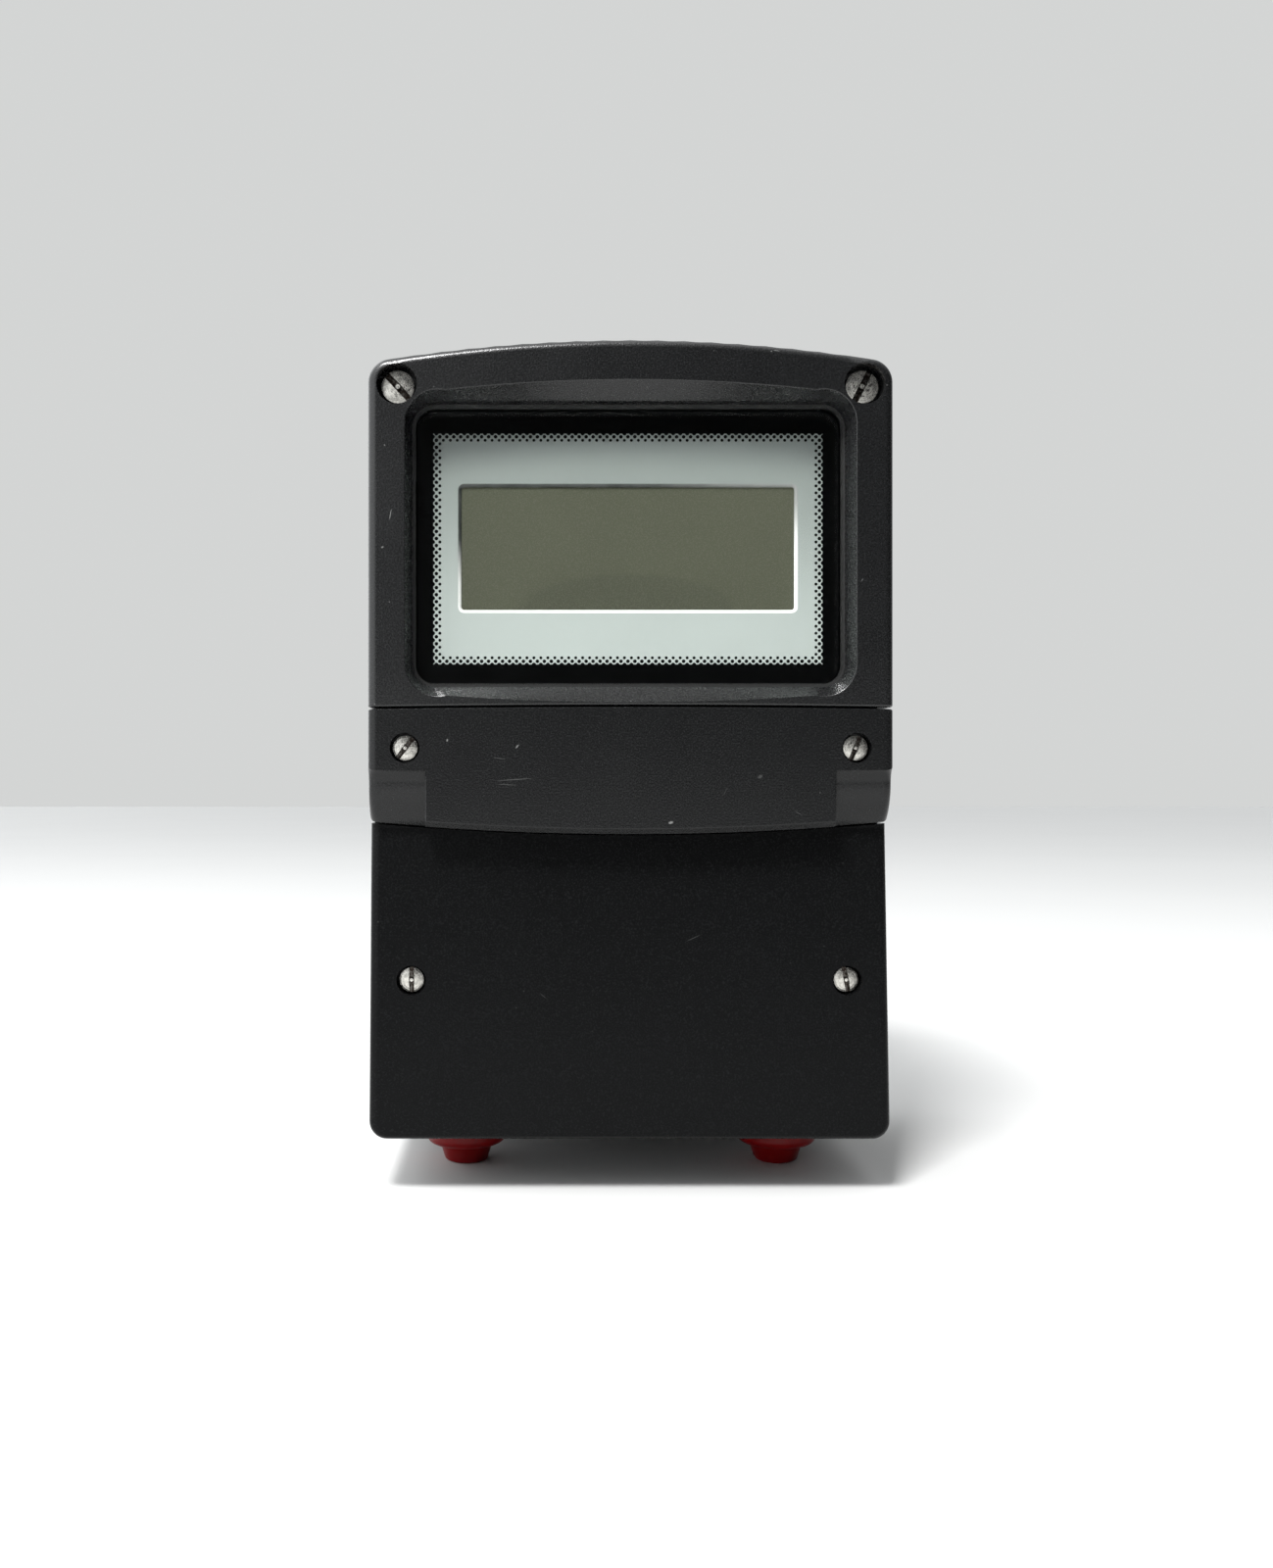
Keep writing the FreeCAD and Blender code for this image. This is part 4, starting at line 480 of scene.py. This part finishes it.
# The charcoal nodes: brightness is that of CHARCOAL, and wear is how plain the scattered specks are.
HOUSING_LOOKS = {
    "rear_housing": {"brightness": 0.6, "gloss": 0.30, "roughness": 0.34, "wear": 0.25},
    "display_cover": {"brightness": 0.50, "gloss": 0.50, "roughness": 0.27, "wear": 0.40},
    "band_cover": {"brightness": 0.42, "gloss": 0.32, "roughness": 0.25, "wear": 0.25},
    "terminal_cover": {"brightness": 0.34, "gloss": 0.08, "roughness": 0.26, "wear": 0.12},
}


def slot_finishes():
    """The finish of each material slot in the record, apart from the charcoal nodes."""
    return {
        "seal_rubber": soft_rubber("seal_rubber", (0.016, 0.016, 0.016)),
        "ring_rubber": soft_rubber("ring_rubber", (0.010, 0.010, 0.010)),
        "screw_steel": plain_metal("plated_steel", (0.60, 0.58, 0.55), 0.32, (1.0, 1.0, 1.0)),
        "brass": plain_metal("turned_brass", (0.70, 0.49, 0.20), 0.30, (1.0, 0.2, 1.0)),
        "plate_steel": zinc_plate(),
        "lens": window_pane("clear_window", (0.98, 0.985, 0.98), 0.02),
        "mask_print": black_film(),
        "display_glass": display_glass(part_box("display_glass")[0].z + DISPLAY_RIM),
        "light_guide": light_guide(),
        "bezel_plastic": plain_moulding("black_moulding", (0.022, 0.022, 0.023), 0.45),
        "circuit_board": circuit_board(),
        "core_steel": laminated_core(),
        "winding_tape": winding_tape(),
        "relay_plastic": plain_moulding("relay_blue", (0.02, 0.06, 0.24), 0.3),
        "capacitor_sleeve": striped_sleeve(),
        "chip_plastic": plain_moulding("chip_black", (0.016, 0.016, 0.017), 0.55),
        "cable_grey": ribbon_grey(),
        "terminal_grey": plain_moulding("terminal_grey", (0.20, 0.25, 0.23), 0.42),
        "fuse_cap_metal": plain_metal("nickel_cap", (0.70, 0.69, 0.66), 0.22, (1.0, 1.0, 1.0)),
        "fuse_glass": window_pane("fuse_glass", (0.93, 0.95, 0.94), 0.03),
        "plug_red": plug_red(),
    }


def paint_frame(finishes):
    """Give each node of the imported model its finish, by its own name or by its material slot."""
    for part in frame["record"]["subparts"]:
        name = part["node"]
        if name in HOUSING_LOOKS:
            finish = moulded_housing(name, **HOUSING_LOOKS[name])
        else:
            finish = finishes[part["material_slot"]]
        for slot in frame["nodes"][name].material_slots:
            slot.link = "OBJECT"
            slot.material = finish


# ---------------------------------------------------------------- pieces in mesh code

def show(name, mesh, material, body, place):
    """Link a mesh as a piece of the object, riding on a body of the frame. place is its matrix."""
    piece = bpy.data.objects.new(name, mesh)
    bpy.context.scene.collection.objects.link(piece)
    mesh.materials.clear()
    mesh.materials.append(material)
    piece.matrix_world = place
    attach(piece, body)
    return piece


def lathe(name, rows, segments):
    """A closed mesh round the Z axis. A row is a height and a radius, or a function from angle to radius."""
    points = []
    for height, radius in rows:
        for step in range(segments):
            angle = 2 * math.pi * step / segments
            reach = radius(angle) if callable(radius) else radius
            points.append((reach * math.cos(angle), reach * math.sin(angle), height))
    faces = []
    for row in range(len(rows) - 1):
        for step in range(segments):
            along = (step + 1) % segments
            low, high = row * segments, (row + 1) * segments
            faces.append((low + step, low + along, high + along, high + step))
    faces.append(tuple(range(segments - 1, -1, -1)))
    faces.append(tuple((len(rows) - 1) * segments + step for step in range(segments)))
    mesh = bpy.data.meshes.new(name)
    mesh.from_pydata(points, [], faces)
    return mesh


def arc_rows(middle, height, radius, start, end, steps=7):
    """Rows of a lathe along an arc. Its centre is (middle, height) and its angles are in degrees."""
    rows = []
    for step in range(steps + 1):
        angle = math.radians(start + (end - start) * step / steps)
        rows.append((height + radius * math.sin(angle), middle + radius * math.cos(angle)))
    return rows


def smooth(mesh):
    """Smooth shading, with edges kept sharp where the faces turn by more than an angle."""
    mesh.shade_smooth()
    mesh.set_sharp_from_angle(angle=math.radians(32))


def evaluated_mesh(holder):
    """A new mesh of what an object comes to with its modifiers."""
    bpy.context.view_layer.update()
    ready = holder.evaluated_get(bpy.context.evaluated_depsgraph_get())
    return bpy.data.meshes.new_from_object(ready)


def carved(mesh, cutter):
    """The mesh less its cutter, by an exact boolean."""
    base = bpy.data.objects.new("carved", mesh)
    tool = bpy.data.objects.new("cutter", cutter)
    for thing in (base, tool):
        bpy.context.scene.collection.objects.link(thing)
    cut = base.modifiers.new("cut", "BOOLEAN")
    cut.operation = "DIFFERENCE"
    cut.solver = "EXACT"
    cut.object = tool
    result = evaluated_mesh(base)
    for thing in (base, tool):
        bpy.data.objects.remove(thing)
    return result


def slot_cutter(width, depth, top, reach, flare):
    """A slot across a head, cut down from top, with a small flare along its upper edges."""
    half = width / 2
    profile = [(-half, top - depth), (half, top - depth), (half, top - flare), (half + flare, top + flare),
               (-half - flare, top + flare), (-half, top - flare)]
    points = [(x, y, z) for x in (-reach, reach) for y, z in profile]
    count = len(profile)
    faces = [tuple(range(count - 1, -1, -1)), tuple(range(count, 2 * count))]
    for corner in range(count):
        after = (corner + 1) % count
        faces.append((corner, after, count + after, count + corner))
    mesh = bpy.data.meshes.new("slot_cutter")
    mesh.from_pydata(points, [], faces)
    return mesh


def thread_rows(low, high, crest, root, pitch):
    """Rows of a right-hand thread, from low to high, that runs out at both ends."""
    rows_per_turn = 8
    count = round((high - low) / pitch * rows_per_turn)
    heights = [low + (high - low) * step / count for step in range(count + 1)]

    def radius_at(height):
        fade = min(1.0, (height - low) / pitch, (high - height) / pitch)

        def radius(angle):
            phase = (height / pitch - angle / (2 * math.pi)) % 1.0
            tooth = 1 - abs(2 * phase - 1)
            return root + (crest - root) * min(1.0, 1.25 * tooth) * max(0.0, fade)

        return radius

    return [(height, radius_at(height)) for height in heights]


# ---------------------------------------------------------------- captive screws

# A head's diameter and height, the shank's diameter, the thread's pitch, and how many degrees the slots of
# the left and the right screw are turned.
Screw = namedtuple("Screw", "head tall shank pitch slots")
SCREWS = {
    "display": Screw(9.2 * MM, 3.3 * MM, 5.0 * MM, 0.8 * MM, (-47, 63)),
    "band": Screw(7.0 * MM, 2.6 * MM, 4.0 * MM, 0.7 * MM, (52, 68)),
    "terminal": Screw(7.0 * MM, 2.6 * MM, 4.0 * MM, 0.7 * MM, (90, 100)),
}

# Heights of the head's dome, of its rim's rounding, of the break of its lower edge and of the ridges that
# its turning left.
DOME = 0.45 * MM
EDGE_ROUND = 0.22 * MM
EDGE_BREAK = 0.12 * MM
FACING_RIDGE = 0.012 * MM

# Heights above the tip at which the point ends, the thread starts and the thread ends, and the lengths of the
# thread's run-out and of the flare from the neck to the head.
POINT = 0.3 * MM
THREAD_START = 0.35 * MM
THREAD_END = 9.0 * MM
RUN_OUT = 0.3 * MM
NECK_FLARE = 0.4 * MM
SCREW_STEEL = (0.60, 0.585, 0.545)


def head_rows(radius, tall):
    """Rows from the head's underside over its rounded rim to the middle of its dome."""
    rim = tall - DOME
    flat = radius - EDGE_ROUND
    rows = [(0.0, radius - EDGE_BREAK), (EDGE_BREAK, radius)]
    rows += arc_rows(flat, rim - EDGE_ROUND, EDGE_ROUND, 0, 90, 4)
    steps = 14
    for step in range(1, steps):
        reach = flat * (1 - step / steps)
        ridge = FACING_RIDGE * math.sin(step * math.pi / 2)
        rows.append((rim + DOME * (1 - (reach / flat) ** 2) + ridge, reach))
    return rows


def screw_mesh(kind, tip):
    """A captive screw: a slotted head, a plain neck and a thread that ends at the height tip."""
    screw = SCREWS[kind]
    crest = screw.shank / 2 - 0.02 * MM
    root = crest - 0.6 * screw.pitch
    thread_end = tip + THREAD_END
    rows = [(tip, root - POINT), (tip + POINT, root)]
    rows += thread_rows(tip + THREAD_START, thread_end, crest, root, screw.pitch)
    rows += [(thread_end + RUN_OUT, root), (-NECK_FLARE, root), (-0.01 * MM, screw.shank / 2 - 0.05 * MM)]
    rows += head_rows(screw.head / 2, screw.tall)
    blank = lathe(f"{kind}_screw", rows, 72)
    slot = slot_cutter(0.19 * screw.head, 0.42 * screw.tall, screw.tall - 0.1 * MM, screw.head, 0.09 * MM)
    mesh = carved(blank, slot)
    smooth(mesh)
    return mesh


def slot_dirt(tall):
    """Dirt in the slot of a head this tall: a function that makes its share of a finish."""
    def share(finish):
        depth = finish.span(finish.up, tall - 0.5 * MM, tall - 0.85 * MM)
        patches = finish.span(finish.noise(0.8 * MM, 3.0), 0.25, 0.6, 0.75, 1.0)
        return finish.math("MULTIPLY", depth, patches)

    return share


def turned_about(axis, degrees):
    return Matrix.Rotation(math.radians(degrees), 4, axis)


def captive_screws():
    """The six cover screws, each in place of its CAD node, with the head outwards."""
    for kind, screw in SCREWS.items():
        steel = turned_metal(f"{kind}_screw_steel", SCREW_STEEL, 0.30, 0.55 * MM, slot_dirt(screw.tall))
        for side, angle in zip(SIDES, screw.slots):
            name = f"{kind}_screw_{side}"
            low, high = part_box(name)
            seat = Vector(((low.x + high.x) / 2, low.y + screw.tall, (low.z + high.z) / 2))
            mesh = screw_mesh(kind, seat.y - high.y)
            place = Matrix.Translation(seat) @ turned_about("X", 90) @ turned_about("Z", angle)
            piece = show(f"{name}_turned", mesh, steel, name, place)
            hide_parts(name)


# ---------------------------------------------------------------- cable entry plugs

# Radii of the thread, the flange and the cap's two ends, and the cap's height and slot.
PLUG_THREAD = 9.95 * MM
PLUG_THREAD_DEEP = 0.9 * MM
PLUG_PITCH = 1.5 * MM
PLUG_FLANGE = 12.0 * MM
PLUG_CAP_WIDE = 7.9 * MM
PLUG_CAP_NARROW = 5.5 * MM
PLUG_CAP_TALL = 5.6 * MM
PLUG_SLOT = 2.6 * MM
PLUG_SLOT_DEEP = 2.2 * MM


def plug_mesh(length, tip):
    """A blanking plug: thread, flange and tapered cap. Heights run away from the housing, up to the tip."""
    flange_tall = tip - PLUG_CAP_TALL
    edge = 2.2 * MM
    root = 0.7 * MM
    shoulder = 1.5 * MM
    rows = [(-length, PLUG_THREAD - 1.9 * MM), (-length + 0.6 * MM, PLUG_THREAD - 1.2 * MM)]
    rows += thread_rows(-length + 0.7 * MM, -1.1 * MM, PLUG_THREAD, PLUG_THREAD - PLUG_THREAD_DEEP,
                        PLUG_PITCH)
    rows += [(-0.02 * MM, PLUG_THREAD - 0.4 * MM), (0.0, PLUG_FLANGE - 0.3 * MM), (0.3 * MM, PLUG_FLANGE)]
    rows += arc_rows(PLUG_FLANGE - edge, flange_tall - edge, edge, 0, 90)
    rows += arc_rows(PLUG_CAP_WIDE + root, flange_tall + root, root, 270, 195)
    rows += arc_rows(PLUG_CAP_NARROW - 0.3 * MM, tip - shoulder, shoulder, 22, 90)
    return lathe("entry_plug", rows, 96)


def entry_plugs(material):
    """The two blanking plugs, each in place of its CAD node, with the cap down."""
    for side in SIDES:
        name = f"entry_plug_{side}"
        low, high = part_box(name)
        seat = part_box(f"plug_seal_{side}")[0].z
        tip = seat - low.z
        slot = slot_cutter(PLUG_SLOT, PLUG_SLOT_DEEP, tip, 2 * PLUG_FLANGE, 0.15 * MM)
        mesh = carved(plug_mesh(high.z - seat, tip), slot)
        smooth(mesh)
        middle = Matrix.Translation(((low.x + high.x) / 2, (low.y + high.y) / 2, seat))
        place = middle @ turned_about("X", 180)
        piece = show(f"{name}_moulded", mesh, material, name, place)
        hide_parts(name)


# ---------------------------------------------------------------- printed mask behind the window

# The silver print's size and the height of its bottom, and how thick its ink and the air before it are.
PRINT_WIDE = 110.0 * MM
PRINT_LOW = 147.8 * MM
PRINT_TALL = 65.2 * MM
INK = 0.02 * MM
AIR = 0.01 * MM

# Corners of the film and of the display's opening, and the width of the opening's edge and its gap to the
# glass.
FILM_CORNER = 5.4 * MM
VIEW_CORNER = 0.8 * MM
VIEW_EDGE = 0.95 * MM
VIEW_EDGE_GAP = 0.08 * MM

# The halftone dots stand on a grid of so many steps. The rest is in steps: how far the print goes past the
# grid, and the radii of the outer dots, the inner dots and the bites in the print's edge.
STEPS_ACROSS = 110
STEPS_UP = 64
MARGIN = 0.88
OUTER_DOT = 0.53
INNER_DOT = 0.44
NOTCH = 0.62


def ring_of(x, y, radius):
    """Points round a dot."""
    count = 14
    angles = [2 * math.pi * step / count for step in range(count)]
    return [(x + radius * math.cos(angle), y + radius * math.sin(angle)) for angle in angles]


def rounded_rectangle(wide, low, high, corner, steps=6):
    """Points round a rectangle with round corners. wide is half its width."""
    left, right = corner - wide, wide - corner
    bottom, top = low + corner, high - corner
    points = []
    for x, y, start in ((right, top, 0), (left, top, 90), (left, bottom, 180), (right, bottom, 270)):
        for step in range(steps + 1):
            angle = math.radians(start + 90 * step / steps)
            points.append((x + corner * math.cos(angle), y + corner * math.sin(angle)))
    return points


def filled(name, outlines, thick):
    """A thin plate in the XZ plane from closed outlines, with its front at Y = 0 and its back at thick. An
    outline inside another is a hole."""
    curve = bpy.data.curves.new(name, "CURVE")
    curve.dimensions = "2D"
    curve.fill_mode = "BOTH"
    curve.extrude = thick / 2
    for outline in outlines:
        spline = curve.splines.new("POLY")
        spline.points.add(len(outline) - 1)
        for point, (x, y) in zip(spline.points, outline):
            point.co = (x, y, 0, 1)
        spline.use_cyclic_u = True
    holder = bpy.data.objects.new(name, curve)
    bpy.context.scene.collection.objects.link(holder)
    mesh = evaluated_mesh(holder)
    bpy.data.objects.remove(holder)
    mesh.transform(Matrix.Translation((0, thick / 2, 0)) @ Matrix.Rotation(math.radians(90), 4, "X"))
    return mesh


def halftone_dots():
    """Dots of the printed border as column, row and radius: two rows of them, the outer ones larger."""
    dots = []
    for column in range(STEPS_ACROSS + 1):
        for row in range(STEPS_UP + 1):
            layer = min(column, row, STEPS_ACROSS - column, STEPS_UP - row)
            if (column + row) % 2 == 1 and layer <= 1:
                dots.append((column, row, OUTER_DOT if layer == 0 else INNER_DOT))
    return dots


def notched_side(count):
    """Points along one side of the print's edge, from corner to corner, bitten by a row of half dots."""
    half_chord = math.sqrt(NOTCH ** 2 - (1 - MARGIN) ** 2)
    start = math.atan2(1 - MARGIN, half_chord)
    points = [(-MARGIN, -MARGIN)]
    steps = 8
    for middle in range(0, count + 1, 2):
        for step in range(steps + 1):
            angle = math.pi - start - (math.pi - 2 * start) * step / steps
            points.append((middle + NOTCH * math.cos(angle), -1 + NOTCH * math.sin(angle)))
    return points


def print_edge():
    """The print's whole scalloped outline, in grid steps."""
    bottom = notched_side(STEPS_ACROSS)
    side = notched_side(STEPS_UP)
    right = [(STEPS_ACROSS - y, x) for x, y in side]
    top = [(STEPS_ACROSS - x, STEPS_UP - y) for x, y in bottom]
    left = [(y, STEPS_UP - x) for x, y in side]
    return bottom + right + top + left


def silver_print_outlines(view):
    """Outlines of the silver print in metres: its edge, the display's opening and all the dots."""
    step_across = PRINT_WIDE / (STEPS_ACROSS + 2 * MARGIN)
    step_up = PRINT_TALL / (STEPS_UP + 2 * MARGIN)

    def placed(points):
        return [((x - STEPS_ACROSS / 2) * step_across, PRINT_LOW + (y + MARGIN) * step_up)
                for x, y in points]

    outlines = [placed(print_edge()), view]
    for column, row, radius in halftone_dots():
        outlines.append(placed(ring_of(column, row, radius)))
    return outlines


def opening_edge(half_width, low, high, deep):
    """A ring round the display's opening with a rounded front edge. deep is its size from front to back."""
    profile = []
    steps = 6
    for step in range(steps + 1):
        angle = math.pi / 2 * step / steps
        profile.append((VIEW_EDGE * (1 - math.sin(angle)), deep * (1 - math.cos(angle))))
    profile.append((VIEW_EDGE, deep))
    points = []
    for grow, back in profile:
        outline = rounded_rectangle(half_width + grow, low - grow, high + grow, VIEW_CORNER + grow)
        points += [(x, back, z) for x, z in outline]
    around = len(points) // len(profile)
    faces = []
    for row in range(len(profile)):
        after = (row + 1) % len(profile)
        for step in range(around):
            along = (step + 1) % around
            faces.append((row * around + step, row * around + along,
                          after * around + along, after * around + step))
    mesh = bpy.data.meshes.new("opening_edge")
    mesh.from_pydata(points, [], faces)
    mesh.update()
    return mesh


def show_print(name, mesh, material, front):
    """Show a part of the mask with its front at this depth. It moves with the display cover."""
    return show(name, mesh, material, "display_cover", Matrix.Translation((0, front, 0)))


def printed_mask(film_finish):
    """The black film, the silver print on its front and the rounded edge of the display's opening, with its
    painted highlight and shade.
    """
    low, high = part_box("printed_mask")
    glass_low, glass_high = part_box("display_glass")
    view_half = glass_high.x - DISPLAY_RIM
    view_low = glass_low.z + DISPLAY_RIM
    view_high = glass_high.z - DISPLAY_RIM
    opening = rounded_rectangle(view_half + VIEW_EDGE, view_low - VIEW_EDGE, view_high + VIEW_EDGE,
                                VIEW_CORNER + VIEW_EDGE)

    edge = rounded_rectangle(high.x, low.z, high.z, FILM_CORNER, 12)
    film = filled("mask_film", [edge, opening], high.y - low.y - INK - AIR)
    film_piece = show_print("mask_film", film, film_finish, low.y + INK + AIR)
    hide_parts("printed_mask")

    silver = filled("silver_print_with_painted_shade", silver_print_outlines(opening), INK)
    silver_finish = silver_print_with_painted_shade(PRINT_LOW, PRINT_LOW + PRINT_TALL)
    show_print("mask_silver_print", silver, silver_finish, low.y + AIR)

    ring = opening_edge(view_half, view_low, view_high, glass_low.y - low.y - VIEW_EDGE_GAP)
    smooth(ring)
    ring_finish = opening_edge_painted_light(view_low, view_high, view_half)
    show_print("mask_opening_edge", ring, ring_finish, low.y + AIR)


# ---------------------------------------------------------------- camera, floor and light

def camera():
    """The photograph's view: level, a little left of the middle, and shifted to centre the object."""
    lens = bpy.data.cameras.new("camera")
    lens.lens = 29.28
    lens.sensor_width = 36.0
    lens.shift_x = 0.0673
    viewer = bpy.data.objects.new("camera", lens)
    viewer.location = (-0.0274, -0.400, 0.114)
    viewer.rotation_euler = (math.radians(90), 0, 0)
    bpy.context.scene.collection.objects.link(viewer)
    bpy.context.scene.camera = viewer


def floor():
    """A plain pale floor at the object's foot."""
    reach = 6.0
    corners = [(-reach, -reach, 0), (reach, -reach, 0), (reach, reach, 0), (-reach, reach, 0)]
    mesh = bpy.data.meshes.new("floor")
    mesh.from_pydata(corners, [], [(0, 1, 2, 3)])
    plane = bpy.data.objects.new("floor", mesh)
    bpy.context.scene.collection.objects.link(plane)
    finish = Finish("floor_pale")
    clouds = finish.noise(0.3, 3.0)
    colour = finish.blend(clouds, (0.62, 0.62, 0.615), (0.65, 0.65, 0.645))
    mesh.materials.append(finish.done(finish.shade(colour, 0.7)))


def soft_light(name, place, target, width, height, watts):
    """A flat lamp at place that faces target."""
    light = bpy.data.lights.new(name, "AREA")
    light.shape = "RECTANGLE"
    light.size = width
    light.size_y = height
    light.energy = watts
    lamp = bpy.data.objects.new(name, light)
    lamp.location = place
    aim = Vector(target) - Vector(place)
    lamp.rotation_euler = aim.to_track_quat("-Z", "Y").to_euler()
    bpy.context.scene.collection.objects.link(lamp)


BACKDROP = (0.655, 0.665, 0.66)
SKY_LIGHT = (0.97, 0.99, 1.0)


def sky():
    """Pale to the camera. To the object it is dark in front, and lighter to the left, behind and above."""
    world = bpy.data.worlds.new("studio")
    world.use_nodes = True
    nodes = Nodes(world.node_tree)
    across, deep, up = nodes.split(nodes.add("ShaderNodeTexCoord").outputs["Generated"])
    glow = nodes.span(across, -0.06, -0.55, 0.008, 2.0)
    glow = nodes.math("ADD", glow, nodes.span(deep, -0.1, 0.6, 0.0, 0.45))
    glow = nodes.math("ADD", glow, nodes.span(up, 0.35, 0.95, 0.0, 0.45))
    unseen = nodes.add("ShaderNodeBackground", {"Color": SKY_LIGHT, "Strength": glow})
    seen = nodes.add("ShaderNodeBackground", {"Color": BACKDROP, "Strength": 1.0})
    by_camera = nodes.add("ShaderNodeLightPath").outputs["Is Camera Ray"]
    both = nodes.add("ShaderNodeMixShader", {0: by_camera, 1: unseen.outputs[0], 2: seen.outputs[0]})
    nodes.add("ShaderNodeOutputWorld", {"Surface": both.outputs[0]})
    bpy.context.scene.world = world


def studio():
    """A small key light high up at the front left, a weak wide one overhead, and the sky."""
    sky()
    middle = (0, 0, 0.12)
    soft_light("key", (-0.42, -0.84, 1.52), middle, width=0.42, height=0.36, watts=42)
    soft_light("top", (0.1, -0.05, 1.9), middle, width=1.2, height=1.0, watts=4)
    bpy.context.scene.view_settings.view_transform = "Standard"


camera()
floor()
studio()
finishes = slot_finishes()
paint_frame(finishes)
captive_screws()
entry_plugs(finishes["plug_red"])
printed_mask(finishes["mask_print"])
